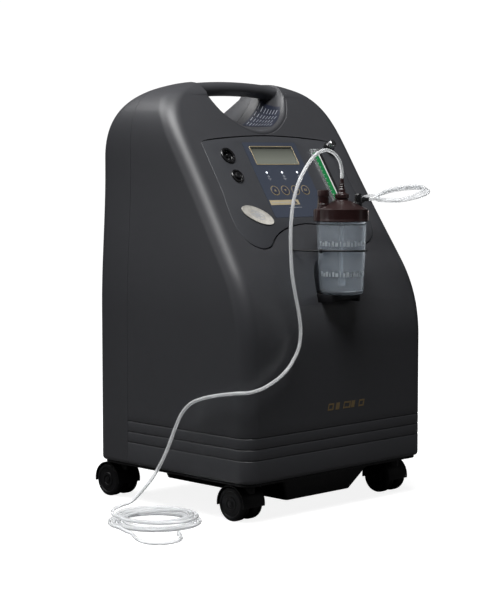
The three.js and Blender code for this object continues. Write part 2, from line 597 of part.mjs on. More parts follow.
// ---- tubes ----
function buildTubes() {
  // from the outlet nozzle on the lid, over and down the front, round the left corner to the floor
  const run = [[0, -190, 584.4], [0, -190, 598], [-8, -191, 616], [-26, -193, 629], [-52, -197, 633], [-83, -202, 623],
    [-110, -207, 602], [-130, -210, 578], [-142, -211, 551], [-149, -212, 522], [-151, -212, 488], [-150, -212, 456],
    [-146, -211, 424], [-137, -210, 390], [-127, -209, 356], [-122, -208, 326], [-125, -207, 299],
    [-140, -206, 275], [-163, -206, 256], [-192, -207, 243], [-220, -207, 235], [-238, -199, 231],
    [-245, -180, 229], [-246, -155, 225], [-246, -128, 220], [-246, -96, 212], [-248, -69, 201], [-252, -52, 184],
    [-258, -41, 158], [-267, -27, 115], [-279, -8, 72], [-294, 10, 42], [-306, 20, 27], [-318, 23, 22]];
  add(model, 'cannula_tube', tube(run, tubeRadius, 78), paint.clear);

  const { inner, outer, height } = coil;
  const ring = [[inner + 5, 0], [outer - 5, 0], [outer, 5], [outer, height - 5], [outer - 6, height],
    [inner + 6, height], [inner, height - 5], [inner, 5], [inner + 5, 0]];
  add(model, 'cannula_coil', turned(ring, 28).translate(coil.x, coil.y, 0), paint.clear);

  const tail = [[-396.5, -52, 3], [-399, -70, 3], [-408, -94, 3], [-421, -117, 3], [-431, -142, 3], [-430, -166, 3],
    [-416, -184, 3], [-392, -188, 3], [-371, -178, 3], [-359, -162, 3]];
  add(model, 'cannula_tail', tube(tail, tubeRadius, 24), paint.clear);
  const connector = turned([[1.4, 0.6], [3.4, 0.6], [3.9, 6], [3.9, 14], [3, 16], [3.4, 18], [2.4, 24], [1.4, 24],
    [1.4, 0.6]], 12);
  connector.rotateX(-Math.PI / 2).rotateZ(-0.62).translate(-359, -162, 4);
  add(model, 'cannula_connector', connector, paint.clear);

  // the short feed tube: off the lid's arm, round loose turns, back to the outlet on the panel
  const loopX = 160;
  const loopY = -190;
  const loopRadius = 50;
  const tilt = 11; // rise of the loops towards +X
  const feed = [[54.4, -204, armHeight], [68, -205, armHeight], [89, -210, armHeight - 3]];
  const first = 220;
  const last = 1200;
  const stepCount = 32;
  for (let i = 0; i <= stepCount; i += 1) {
    const degrees = first + ((last - first) * i) / stepCount;
    const angle = THREE.MathUtils.degToRad(degrees);
    const turns = (degrees - first) / 360;
    const radius = loopRadius - 4 * turns;
    feed.push([loopX + radius * Math.cos(angle), loopY + radius * Math.sin(angle),
      552 + tilt * Math.cos(angle) + 2.5 * turns]);
  }
  feed.push([128, -133, 550], [122, -121, 544], [118, -111.4, 535.3]);
  add(model, 'connecting_tube', tube(feed, 2.6, 76), paint.clear);
}

buildShells();
buildBase();
buildPanel();
buildHumidifier();
buildCasters();
buildRear();
buildInside();
buildTubes();

export default model;
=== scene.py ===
# Oxygen concentrator: the looks of the cabinet, control face, humidifier, casters and tubes.
# Metres, +Z up, the front faces -Y, +X is to the right for someone facing the front.
import math
import bpy
from mathutils import Matrix, Vector


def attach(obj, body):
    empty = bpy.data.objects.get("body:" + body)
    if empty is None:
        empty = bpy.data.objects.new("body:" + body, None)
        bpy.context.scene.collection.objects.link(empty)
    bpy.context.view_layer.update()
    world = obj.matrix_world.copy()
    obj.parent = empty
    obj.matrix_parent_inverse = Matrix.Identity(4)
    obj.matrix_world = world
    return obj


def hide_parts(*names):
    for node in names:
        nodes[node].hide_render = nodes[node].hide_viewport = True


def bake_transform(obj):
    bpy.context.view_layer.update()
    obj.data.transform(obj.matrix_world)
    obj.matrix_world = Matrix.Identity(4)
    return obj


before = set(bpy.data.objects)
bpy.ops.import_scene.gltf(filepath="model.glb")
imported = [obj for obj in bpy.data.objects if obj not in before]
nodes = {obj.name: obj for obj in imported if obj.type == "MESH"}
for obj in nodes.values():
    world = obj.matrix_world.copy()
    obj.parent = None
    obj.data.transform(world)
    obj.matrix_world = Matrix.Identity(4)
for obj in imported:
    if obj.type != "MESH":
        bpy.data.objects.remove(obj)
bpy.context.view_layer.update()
print("frame loaded:", len(nodes), "nodes")

# ---- camera ----
view = {"place": (-2.268, -2.251, 0.625), "heading": (0.702, 0.7096), "pitch": 4.73, "lens": 105.2}


def makeCamera():
    bpy.ops.object.camera_add(location=view["place"])
    camera = bpy.context.object
    camera.name = "viewCamera"
    camera.data.lens = view["lens"]
    camera.data.clip_end = 60
    heading = math.atan2(view["heading"][0], view["heading"][1])
    camera.rotation_euler = (math.radians(90 - view["pitch"]), 0, -heading)
    bpy.context.scene.camera = camera


makeCamera()


# ---- hand tools ----
def deselect():
    if bpy.context.object and bpy.context.object.mode != "OBJECT":
        bpy.ops.object.mode_set(mode="OBJECT")
    bpy.ops.object.select_all(action="DESELECT")


def only(piece):
    deselect()
    piece.select_set(True)
    bpy.context.view_layer.objects.active = piece


def settle(piece):
    only(piece)
    bpy.ops.object.transform_apply(location=True, rotation=True, scale=True)
    return piece


def named(name):
    piece = bpy.context.object
    piece.name = name
    piece.data.name = name
    return settle(piece)


def meshFrom(name, points, faces, edges=()):
    mesh = bpy.data.meshes.new(name)
    mesh.from_pydata([tuple(p) for p in points], list(edges), list(faces))
    piece = bpy.data.objects.new(name, mesh)
    bpy.context.scene.collection.objects.link(piece)
    only(piece)
    return piece


def edit(piece, *steps):
    only(piece)
    bpy.ops.object.mode_set(mode="EDIT")
    bpy.ops.mesh.select_all(action="SELECT")
    for step in steps:
        step()
    bpy.ops.object.mode_set(mode="OBJECT")
    return piece


def outward(piece, merge=1e-5):
    return edit(piece, lambda: bpy.ops.mesh.remove_doubles(threshold=merge),
                lambda: bpy.ops.mesh.normals_make_consistent(inside=False))


def modify(piece, kind, **settings):
    only(piece)
    modifier = piece.modifiers.new(kind.lower(), kind)
    for key, value in settings.items():
        setattr(modifier, key, value)
    bpy.ops.object.modifier_apply(modifier=modifier.name)
    return piece


def carve(piece, cutter, operation="DIFFERENCE", keep=False):
    modify(piece, "BOOLEAN", object=cutter, operation=operation, solver="EXACT")
    if not keep:
        bpy.data.objects.remove(cutter)
    return piece


def pickEdges(piece, test):
    only(piece)
    bpy.ops.object.mode_set(mode="EDIT")
    bpy.ops.mesh.select_mode(type="EDGE")
    bpy.ops.mesh.select_all(action="DESELECT")
    bpy.ops.object.mode_set(mode="OBJECT")
    corners = piece.data.vertices
    for edge in piece.data.edges:
        a, b = (corners[i].co for i in edge.vertices)
        edge.select = test(a, b)
    bpy.ops.object.mode_set(mode="EDIT")


def pickFaces(piece, test):
    only(piece)
    bpy.ops.object.mode_set(mode="EDIT")
    bpy.ops.mesh.select_mode(type="FACE")
    bpy.ops.mesh.select_all(action="DESELECT")
    bpy.ops.object.mode_set(mode="OBJECT")
    for face in piece.data.polygons:
        face.select = test(face.center, face.normal)
    bpy.ops.object.mode_set(mode="EDIT")


def endEdit():
    bpy.ops.mesh.select_mode(type="VERT")
    bpy.ops.object.mode_set(mode="OBJECT")


def soften(piece, width, segments=2, angle=35):
    return modify(piece, "BEVEL", width=width, segments=segments, limit_method="ANGLE",
                  angle_limit=math.radians(angle), use_clamp_overlap=True, miter_outer="MITER_ARC")


def moved(piece, matrix):
    piece.data.transform(matrix)
    return piece


# turns what is drawn flat to stand upright: y becomes height
upright = Matrix.Rotation(math.pi / 2, 4, "X")


def stoodUp(piece, y=0):
    return moved(piece, Matrix.Translation((0, y, 0)) @ upright)


def joined(name, pieces):
    deselect()
    for piece in pieces:
        piece.select_set(True)
    bpy.context.view_layer.objects.active = pieces[0]
    if len(pieces) > 1:
        bpy.ops.object.join()
    piece = bpy.context.object
    piece.name = name
    piece.data.name = name
    return piece


def duplicate(piece, name, matrix):
    copied = piece.copy()
    copied.data = piece.data.copy()
    copied.name = name
    copied.data.name = name
    bpy.context.scene.collection.objects.link(copied)
    return moved(copied, matrix)


def boxPiece(name, low, high):
    centre = [(a + b) / 2 for a, b in zip(low, high)]
    size = [b - a for a, b in zip(low, high)]
    bpy.ops.mesh.primitive_cube_add(size=1, location=centre, scale=size)
    return named(name)


def rodPiece(name, radius, low, high, at=(0, 0), sides=32, axis="z"):
    bpy.ops.mesh.primitive_cylinder_add(radius=radius, depth=high - low, vertices=sides,
                                        location=(0, 0, (low + high) / 2))
    piece = named(name)
    if axis == "x":
        moved(piece, Matrix.Rotation(math.pi / 2, 4, "Y"))
        return moved(piece, Matrix.Translation((0, at[0], at[1])))
    if axis == "y":
        moved(piece, Matrix.Rotation(-math.pi / 2, 4, "X"))
        return moved(piece, Matrix.Translation((at[0], 0, at[1])))
    return moved(piece, Matrix.Translation((at[0], at[1], 0)))


# a turned piece about Z from (radius, height) pairs in millimetres
def turnedPiece(name, profile, steps=48, place=(0, 0, 0)):
    points = [(r / 1000, 0, h / 1000) for r, h in profile]
    piece = meshFrom(name, points, [], [(i, i + 1) for i in range(len(points) - 1)])
    modify(piece, "SCREW", angle=math.tau, steps=steps, render_steps=steps, axis="Z",
           use_merge_vertices=True, merge_threshold=1e-5)
    outward(piece)
    return moved(piece, Matrix.Translation(place))


# a flat outline (x, y) raised from low to high
def raisedPiece(name, outline, low, high):
    piece = meshFrom(name, [(x, y, low) for x, y in outline], [range(len(outline))])
    edit(piece, lambda: bpy.ops.mesh.extrude_region_move(
        TRANSFORM_OT_translate={"value": (0, 0, high - low)}))
    return outward(piece, 1e-7)


def roundRect(halfX, halfY, radius, x=0, y=0, steps=5):
    outline = []
    for cx, cy, start in [(1, -1, -90), (1, 1, 0), (-1, 1, 90), (-1, -1, 180)]:
        for i in range(steps + 1):
            angle = math.radians(start + 90 * i / steps)
            outline.append((x + cx * (halfX - radius) + radius * math.cos(angle),
                            y + cy * (halfY - radius) + radius * math.sin(angle)))
    return outline


# points along a round arc, angles in degrees
def ringOf(radius, first, last, steps):
    angles = [math.radians(first + (last - first) * i / steps) for i in range(steps + 1)]
    return [(radius * math.cos(angle), radius * math.sin(angle)) for angle in angles]


# outline of a bent band between two radii
def ringArc(outer, inner, first, last, steps):
    return ringOf(outer, first, last, steps) + ringOf(inner, last, first, steps)


# a closed piece through rings of equally many points
def loftPiece(name, rings):
    count = len(rings[0])
    points = [p for ring in rings for p in ring]
    faces = []
    for r in range(len(rings) - 1):
        for i in range(count):
            j = (i + 1) % count
            faces.append((r * count + i, r * count + j, (r + 1) * count + j, (r + 1) * count + i))
    faces.append(tuple(reversed(range(count))))
    faces.append(tuple(range((len(rings) - 1) * count, len(rings) * count)))
    return outward(meshFrom(name, points, faces), 1e-6)


# a smooth line through the given points, dense enough to sweep
def smoothLine(points, step=0.003):
    spots = [Vector(p) for p in points]
    spots = [spots[0] * 2 - spots[1]] + spots + [spots[-1] * 2 - spots[-2]]
    line = []
    for i in range(1, len(spots) - 2):
        p0, p1, p2, p3 = spots[i - 1:i + 3]
        knots = [0]
        for a, b in ((p0, p1), (p1, p2), (p2, p3)):
            knots.append(knots[-1] + max((b - a).length, 1e-6) ** 0.5)
        t0, t1, t2, t3 = knots
        pieces = max(2, math.ceil((p2 - p1).length / step))
        for k in range(pieces):
            t = t1 + (t2 - t1) * k / pieces
            a1 = p0 * ((t1 - t) / (t1 - t0)) + p1 * ((t - t0) / (t1 - t0))
            a2 = p1 * ((t2 - t) / (t2 - t1)) + p2 * ((t - t1) / (t2 - t1))
            a3 = p2 * ((t3 - t) / (t3 - t2)) + p3 * ((t - t2) / (t3 - t2))
            b1 = a1 * ((t2 - t) / (t2 - t0)) + a2 * ((t - t0) / (t2 - t0))
            b2 = a2 * ((t3 - t) / (t3 - t1)) + a3 * ((t - t1) / (t3 - t1))
            line.append(b1 * ((t2 - t) / (t2 - t1)) + b2 * ((t - t1) / (t2 - t1)))
    line.append(spots[-2])
    return line


def sweepPiece(name, line, radius, sides=12):
    tangents = [(line[min(i + 1, len(line) - 1)] - line[max(i - 1, 0)]).normalized()
                for i in range(len(line))]
    side = tangents[0].orthogonal().normalized()
    points = []
    for spot, along in zip(line, tangents):
        side = (side - along * side.dot(along)).normalized()
        other = along.cross(side)
        for k in range(sides):
            angle = math.tau * k / sides
            points.append(spot + side * (radius * math.cos(angle)) + other * (radius * math.sin(angle)))
    rings = [points[i * sides:(i + 1) * sides] for i in range(len(line))]
    return loftPiece(name, rings)


# ---- shared shader effects ----
def newGroup(name, inputs, outputs):
    group = bpy.data.node_groups.new(name, "ShaderNodeTree")
    for label, kind, value in inputs:
        socket = group.interface.new_socket(name=label, in_out="INPUT", socket_type=kind)
        if value is not None:
            socket.default_value = value
    for label, kind in outputs:
        group.interface.new_socket(name=label, in_out="OUTPUT", socket_type=kind)
    return group, group.nodes.new("NodeGroupInput"), group.nodes.new("NodeGroupOutput")


def addNode(tree, kind, inputs=None, **settings):
    node = tree.nodes.new(kind)
    for key, value in settings.items():
        setattr(node, key, value)
    for key, value in (inputs or {}).items():
        if isinstance(value, bpy.types.NodeSocket):
            tree.links.new(value, node.inputs[key])
        else:
            node.inputs[key].default_value = value
    return node


# where a point of the surface lies, in its piece's own axes
def ownPlace(tree):
    return addNode(tree, "ShaderNodeTexCoord").outputs["Object"]


def noised(tree, place, scale, detail=2.0):
    noise = addNode(tree, "ShaderNodeTexNoise", {"Vector": place, "Scale": scale, "Detail": detail})
    return noise.outputs["Fac"]


def ranged(tree, value, low, high, start=0.0, end=1.0):
    spread = addNode(tree, "ShaderNodeMapRange", {"Value": value, "From Min": start, "From Max": end,
                                                  "To Min": low, "To Max": high})
    return spread.outputs["Result"]


def multiplied(tree, first, second):
    return addNode(tree, "ShaderNodeMath", {0: first, 1: second}, operation="MULTIPLY").outputs[0]


def blended(tree, share, first, second):
    return addNode(tree, "ShaderNodeMix", {0: share, 6: first, 7: second}, data_type="RGBA").outputs[2]


def bumped(tree, height, distance, strength):
    bump = addNode(tree, "ShaderNodeBump", {"Height": height, "Distance": distance, "Strength": strength})
    return bump.outputs["Normal"]


# colours along a value, from rising (position, colour) pairs
def ramped(tree, value, *stops):
    ramp = addNode(tree, "ShaderNodeValToRGB", {0: value})
    elements = ramp.color_ramp.elements
    while len(elements) < len(stops):
        elements.new(0.5)
    for element, (position, colour) in zip(elements, stops):
        element.position = position
        element.color = (*colour, 1)
    return ramp.outputs["Color"]


def plug(tree, shader, **sources):
    for key, source in sources.items():
        tree.links.new(source, shader.inputs[key.replace("_", " ")])


# fine moulded grain: a normal, and a tone that varies slowly over the surface
def makeGrain():
    group, given, made = newGroup("mouldedGrain", [("Grain Scale", "NodeSocketFloat", 1400),
                                                   ("Depth", "NodeSocketFloat", 0.15),
                                                   ("Tone Scale", "NodeSocketFloat", 6)],
                                  [("Normal", "NodeSocketVector"), ("Tone", "NodeSocketFloat")])
    place = ownPlace(group)
    fine = noised(group, place, given.outputs["Grain Scale"])
    slow = noised(group, place, given.outputs["Tone Scale"], 4.0)
    group.links.new(bumped(group, fine, 0.0002, given.outputs["Depth"]), made.inputs["Normal"])
    group.links.new(slow, made.inputs["Tone"])
    return group


# a mask that is high where an edge has been rubbed
def makeEdgeRub():
    group, given, made = newGroup("edgeRub", [("Amount", "NodeSocketFloat", 0.5),
                                              ("Break Scale", "NodeSocketFloat", 60)],
                                  [("Mask", "NodeSocketFloat")])
    point = addNode(group, "ShaderNodeNewGeometry")
    sharp = ranged(group, point.outputs["Pointiness"], 0, 1, 0.52, 0.62)
    breaks = noised(group, ownPlace(group), given.outputs["Break Scale"])
    rubbed = multiplied(group, multiplied(group, sharp, breaks), given.outputs["Amount"])
    group.links.new(rubbed, made.inputs["Mask"])
    return group


# settled dust: more on what faces up, broken by noise
def makeDust():
    group, given, made = newGroup("settledDust", [("Amount", "NodeSocketFloat", 0.2)],
                                  [("Mask", "NodeSocketFloat")])
    facing = addNode(group, "ShaderNodeNewGeometry")
    parts = addNode(group, "ShaderNodeSeparateXYZ", {0: facing.outputs["Normal"]})
    patchy = noised(group, ownPlace(group), 35.0, 6.0)
    upward = ranged(group, parts.outputs["Z"], 0, 1, 0.1, 1.0)
    dusted = multiplied(group, multiplied(group, upward, patchy), given.outputs["Amount"])
    group.links.new(dusted, made.inputs["Mask"])
    return group


grainGroup = makeGrain()
rubGroup = makeEdgeRub()
dustGroup = makeDust()
dustColour = (0.32, 0.31, 0.30, 1)


def startMaterial(name, **sockets):
    material = bpy.data.materials.new(name)
    material.use_nodes = True
    tree = material.node_tree
    shader = tree.nodes["Principled BSDF"]
    for key, value in sockets.items():
        shader.inputs[key.replace("_", " ")].default_value = value
    return material, tree, shader


def shaded(colour, factor, lift=0.0):
    return tuple(min(1, c * factor + lift) for c in colour) + (1,)


def grainSkin(tree, scale, depth, toneScale):
    return addNode(tree, "ShaderNodeGroup", {"Grain Scale": scale, "Depth": depth, "Tone Scale": toneScale},
                   node_tree=grainGroup)


def dressShader(tree, shader, skin, colour, smoothest, roughest):
    plug(tree, shader, Base_Color=colour, Normal=skin.outputs["Normal"],
         Roughness=ranged(tree, skin.outputs["Tone"], smoothest, roughest))


# moulded plastic, rubber, cast metal: base colour with tone, grain, rubbed edges and dust
def mouldedFinish(name, colour, roughness, tone=0.12, grain=0.15, grainScale=1400, toneScale=6, rub=0.3,
                  dust=0.08, **sockets):
    material, tree, shader = startMaterial(name, **sockets)
    skin = grainSkin(tree, grainScale, grain, toneScale)
    base = blended(tree, skin.outputs["Tone"], shaded(colour, 1 - tone), shaded(colour, 1 + tone))
    worn = addNode(tree, "ShaderNodeGroup", {"Amount": rub}, node_tree=rubGroup)
    rubbed = blended(tree, worn.outputs["Mask"], base, shaded(colour, 1.9, 0.03))
    dusty = addNode(tree, "ShaderNodeGroup", {"Amount": dust}, node_tree=dustGroup)
    final = blended(tree, dusty.outputs["Mask"], rubbed, dustColour)
    dressShader(tree, shader, skin, final, roughness - 0.05, roughness + 0.06)
    return material


# clear and frosted mouldings: roughness varies a little, and the surface waves slightly; a glow is emission,
# painted light that brightens the piece
def clearFinish(name, colour, roughness, clarity, wave=0.1, ior=1.45, glow=0.0):
    material, tree, shader = startMaterial(name, Transmission_Weight=clarity, IOR=ior, Emission_Strength=glow,
                                           Emission_Color=shaded(colour, 1))
    skin = grainSkin(tree, 260, wave, 22)
    base = blended(tree, skin.outputs["Tone"], shaded(colour, 0.94), shaded(colour, 1))
    dressShader(tree, shader, skin, base, max(0.02, roughness - 0.05), roughness + 0.07)
    return material


finishes = {
    "charcoal": mouldedFinish("charcoalShell", (0.042, 0.043, 0.048), 0.40, tone=0.08, grain=0.22,
                              grainScale=1900, toneScale=3, rub=0.25, dust=0.05),
    "faceplate": mouldedFinish("charcoalFace", (0.044, 0.046, 0.052), 0.40, tone=0.07, grain=0.2,
                               grainScale=1900, toneScale=4, rub=0.3, dust=0.04),
    "black": mouldedFinish("blackMoulding", (0.005, 0.005, 0.006), 0.42, grain=0.25, grainScale=1100, rub=0.5,
                           dust=0.04, Specular_IOR_Level=0.28),
    "glossBlack": mouldedFinish("glossBlackFitting", (0.008, 0.008, 0.009), 0.2, grain=0.04, rub=0.4,
                                dust=0.03, Coat_Weight=0.3),
    "tread": mouldedFinish("wheelTread", (0.004, 0.004, 0.005), 0.5, grain=0.5, grainScale=700, rub=0.4,
                           dust=0.03, Specular_IOR_Level=0.25),
    "capPlastic": mouldedFinish("keyCap", (0.030, 0.036, 0.060), 0.36, grain=0.12, rub=0.3),
    "maroon": mouldedFinish("maroonLid", (0.018, 0.006, 0.006), 0.3, tone=0.25, grain=0.5, grainScale=420,
                            toneScale=90, rub=0.7, dust=0.05, Coat_Weight=0.25),
    "white": mouldedFinish("whiteMoulding", (0.72, 0.73, 0.71), 0.4, tone=0.04, grain=0.1, rub=0.1),
    "dipWhite": mouldedFinish("dipTubeWhite", (0.26, 0.28, 0.30), 0.45, tone=0.05, grain=0.1, rub=0.1),
    "jarMark": clearFinish("jarMark", (0.58, 0.62, 0.66), 0.35, 0.4, wave=0.1),
    "mutedGold": mouldedFinish("mutedGold", (0.17, 0.12, 0.055), 0.45, tone=0.15, grain=0.1, toneScale=30,
                               rub=0.1, dust=0.02),
    "gold": mouldedFinish("goldPrint", (0.38, 0.31, 0.19), 0.34, tone=0.12, grain=0.1, toneScale=40, rub=0.1,
                          dust=0.02, Metallic=0.35),
    "paleGold": mouldedFinish("goldFoil", (0.56, 0.47, 0.30), 0.32, tone=0.15, grain=0.1, toneScale=60,
                              rub=0.1, dust=0.02, Metallic=0.25),
    "palePrint": mouldedFinish("palePrint", (0.42, 0.44, 0.48), 0.45, tone=0.05, grain=0.05, rub=0.0,
                               dust=0.02),
    "labelNavy": mouldedFinish("labelNavy", (0.008, 0.012, 0.028), 0.4, tone=0.1, grain=0.1, rub=0.1),
    "steel": mouldedFinish("platedSteel", (0.60, 0.60, 0.61), 0.22, tone=0.06, grain=0.05, toneScale=30,
                           rub=0.2, dust=0.02, Metallic=1.0),
    "cast": mouldedFinish("castAluminium", (0.42, 0.43, 0.44), 0.45, tone=0.12, grain=0.6, grainScale=500,
                          toneScale=25, rub=0.4, dust=0.15, Metallic=0.9),
    "green": mouldedFinish("greenScale", (0.010, 0.20, 0.055), 0.35, tone=0.1, grain=0.05, rub=0.0,
                           dust=0.02),
    "red": mouldedFinish("redMark", (0.55, 0.09, 0.08), 0.4, tone=0.15, grain=0.05, rub=0.0, dust=0.0),
    # the clear tube's faint glow is painted light, brightening it against the dark cabinet
    "clearTube": clearFinish("clearTube", (0.88, 0.89, 0.90), 0.20, 0.66, wave=0.0, ior=1.24, glow=0.03),
    "clearBlock": clearFinish("clearBlock", (0.86, 0.89, 0.90), 0.08, 0.85, wave=0.05),
    "frosted": clearFinish("frostedJar", (0.70, 0.75, 0.80), 0.16, 0.86, wave=0.12, ior=1.36),
    "rimClear": clearFinish("rimClear", (0.80, 0.74, 0.73), 0.2, 0.6, wave=0.1),
}


# foam with open cells, drawn darker towards the middle of each cell: painted shade in the pits
def foamFinish():
    material, tree, shader = startMaterial("openFoam", Roughness=0.95)
    cells = addNode(tree, "ShaderNodeTexVoronoi", {"Vector": ownPlace(tree), "Scale": 700.0})
    depth = cells.outputs["Distance"]
    colour = ramped(tree, depth, (0, (0.004, 0.004, 0.004)), (1, (0.05, 0.05, 0.052)))
    plug(tree, shader, Base_Color=colour, Normal=bumped(tree, depth, 0.001, 0.9))
    return material


# circuit board: lacquer with a lattice of copper tracks
def boardFinish():
    material, tree, shader = startMaterial("lacqueredBoard", Roughness=0.35)
    tracks = addNode(tree, "ShaderNodeTexBrick", {"Vector": ownPlace(tree), "Scale": 60.0,
                                                  "Color1": (0.01, 0.10, 0.035, 1),
                                                  "Color2": (0.012, 0.13, 0.045, 1),
                                                  "Mortar": (0.03, 0.22, 0.08, 1)})
    plug(tree, shader, Base_Color=tracks.outputs["Color"],
         Normal=bumped(tree, tracks.outputs["Fac"], 0.0003, 0.5))
    return material


# printed film of the control face: navy, a little darker towards its top
def filmFinish():
    material, tree, shader = startMaterial("navyFilm", Coat_Weight=0.15, Coat_Roughness=0.2)
    skin = grainSkin(tree, 1500, 0.12, 9)
    parts = addNode(tree, "ShaderNodeSeparateXYZ", {0: ownPlace(tree)})
    fall = ranged(tree, parts.outputs["Z"], 0, 1, 0.52, 0.65)
    shade = blended(tree, fall, (0.050, 0.060, 0.086, 1), (0.036, 0.043, 0.062, 1))
    toned = blended(tree, skin.outputs["Tone"], shade, (0.052, 0.061, 0.084, 1))
    dressShader(tree, shader, skin, toned, 0.30, 0.42)
    return material


# display behind its window: grey-green, with painted shade darkening it towards its upper edge, as under the
# rim of its window
def displayFinish():
    material, tree, shader = startMaterial("displayPane", Roughness=0.16, Coat_Weight=0.6,
                                           Coat_Roughness=0.06)
    parts = addNode(tree, "ShaderNodeSeparateXYZ", {0: ownPlace(tree)})
    rise = ranged(tree, parts.outputs["Z"], 0, 1, 0.607, 0.641)
    colour = ramped(tree, rise, (0.25, (0.19, 0.20, 0.17)), (0.7, (0.125, 0.132, 0.113)),
                    (1, (0.04, 0.042, 0.037)))
    plug(tree, shader, Base_Color=colour)
    return material


# lamp lens: pale and lit from inside
def lampFinish():
    material, tree, shader = startMaterial("lampLens", Roughness=0.25, Emission_Strength=1.6)
    glow = blended(tree, noised(tree, ownPlace(tree), 900.0), (0.92, 0.95, 1.0, 1), (0.80, 0.87, 1.0, 1))
    plug(tree, shader, Base_Color=glow, Emission_Color=glow)
    return material


# enamelled badge: cream with a soft mottled bloom
def badgeFinish():
    material, tree, shader = startMaterial("creamBadge", Coat_Weight=0.5, Coat_Roughness=0.12)
    bloom = noised(tree, ownPlace(tree), 120.0, 5.0)
    colour = ramped(tree, bloom, (0.35, (0.46, 0.44, 0.40)), (0.6, (0.60, 0.58, 0.53)))
    plug(tree, shader, Base_Color=colour, Roughness=ranged(tree, bloom, 0.25, 0.42),
         Normal=bumped(tree, bloom, 0.0003, 0.25))
    return material


finishes["foam"] = foamFinish()
finishes["board"] = boardFinish()
finishes["film"] = filmFinish()
finishes["display"] = displayFinish()
finishes["lamp"] = lampFinish()
finishes["badge"] = badgeFinish()
print("finishes made:", len(finishes))


def paintPiece(piece, *names):
    piece.data.materials.clear()
    for name in names:
        piece.data.materials.append(finishes[name])


# paints, smooths and seats a piece on its body
def seat(piece, body, finishName, stands=(), angle=32):
    if finishName:
        paintPiece(piece, finishName)
    only(piece)
    bpy.ops.object.shade_smooth_by_angle(angle=math.radians(angle))
    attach(piece, body)
    if stands:
        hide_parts(*stands)
    return piece


# ---- tubes ----
cannula = {"radius": 0.003, "coilCentre": (-0.311, -0.045), "upperRadii": (0.0745, 0.055), "upperTurns": 2.75,
           "lowerRadii": (0.0525, 0.080), "lowerTurns": 3.5, "upperHeight": 0.0152, "lowerHeight": 0.0036,
           "firstAngle": 104, "lastAngle": 180 + 360 * 6, "pointsPerTurn": 14}
cannulaRun = [(0, -0.186, 0.5846), (0, -0.186, 0.598), (-0.008, -0.187, 0.616), (-0.026, -0.189, 0.629),
              (-0.052, -0.193, 0.633), (-0.083, -0.198, 0.623), (-0.110, -0.203, 0.602),
              (-0.130, -0.206, 0.578), (-0.142, -0.207, 0.551), (-0.149, -0.208, 0.522),
              (-0.151, -0.208, 0.488), (-0.150, -0.208, 0.456), (-0.146, -0.207, 0.424),
              (-0.137, -0.206, 0.390), (-0.127, -0.205, 0.356), (-0.122, -0.204, 0.326),
              (-0.125, -0.203, 0.299), (-0.140, -0.202, 0.275), (-0.163, -0.202, 0.256),
              (-0.192, -0.203, 0.243), (-0.220, -0.203, 0.235), (-0.238, -0.195, 0.231),
              (-0.245, -0.176, 0.229), (-0.246, -0.151, 0.225), (-0.246, -0.124, 0.220),
              (-0.246, -0.092, 0.212), (-0.248, -0.065, 0.201), (-0.252, -0.048, 0.184),
              (-0.258, -0.037, 0.158), (-0.267, -0.023, 0.115), (-0.279, -0.004, 0.072),
              (-0.294, 0.014, 0.042), (-0.306, 0.024, 0.027)]
cannulaTail = [(-0.397, -0.064, 0.0034), (-0.404, -0.090, 0.0034), (-0.417, -0.113, 0.0034),
               (-0.429, -0.138, 0.0034), (-0.430, -0.162, 0.0034), (-0.416, -0.180, 0.0034),
               (-0.392, -0.184, 0.0034), (-0.371, -0.174, 0.0034), (-0.359, -0.158, 0.0036)]


def between(ends, share):
    return ends[0] + (ends[1] - ends[0]) * share


# the laid coil: inwards on top, then outwards on the floor
def coilPoints():
    points = []
    cx, cy = cannula["coilCentre"]
    perTurn = cannula["pointsPerTurn"]
    upper = round(cannula["upperTurns"] * perTurn)
    start = math.radians(cannula["firstAngle"])
    for i in range(upper + 1):
        share = i / upper
        turn = start + math.tau * i / perTurn
        radius = between(cannula["upperRadii"], share)
        drift = 0.0022 * math.sin(turn * 0.62 + 0.8)
        height = cannula["upperHeight"] + 0.0016 * math.sin(turn * 0.8) - 0.002 * share
        if share < 0.12:
            height += 0.006 * (1 - share / 0.12)
        points.append((cx + (radius + drift) * math.cos(turn), cy + (radius - drift) * math.sin(turn),
                       height))
    innermost = start + math.tau * upper / perTurn
    lower = round(cannula["lowerTurns"] * perTurn)
    for i in range(3, lower + 1):
        share = i / lower
        turn = between((innermost, math.radians(cannula["lastAngle"])), share)
        radius = between(cannula["lowerRadii"], share)
        height = cannula["lowerHeight"] + 0.0004 * math.sin(turn)
        if share < 0.2:
            height += 0.0075 * (1 - share / 0.2)
        points.append((cx + radius * math.cos(turn), cy + radius * math.sin(turn), height))
    return points


feed = {"radius": 0.0026, "exit": (0.0542, -0.200, 0.547), "loopCentre": (0.160, -0.186, 0.552),
        "loopRadius": 0.050, "shrink": 0.004, "rise": 0.0025, "tilt": 0.011, "angles": (220, 1200),
        "loopSteps": 40}


def feedPoints():
    points = [feed["exit"], (0.068, -0.201, 0.547), (0.089, -0.206, 0.544)]
    cx, cy, cz = feed["loopCentre"]
    for i in range(feed["loopSteps"] + 1):
        degrees = between(feed["angles"], i / feed["loopSteps"])
        angle = math.radians(degrees)
        turns = (degrees - feed["angles"][0]) / 360
        radius = feed["loopRadius"] - feed["shrink"] * turns
        points.append((cx + radius * math.cos(angle), cy + radius * math.sin(angle),
                       cz + feed["tilt"] * math.cos(angle) + feed["rise"] * turns))
    return points + [(0.128, -0.129, 0.550), (0.122, -0.117, 0.544), (0.118, -0.1074, 0.5353)]


def layTube(name, line, radius):
    piece = sweepPiece(name, line, radius)
    paintPiece(piece, "clearTube")
    only(piece)
    bpy.ops.object.shade_smooth_by_angle(angle=math.radians(40))
    return piece


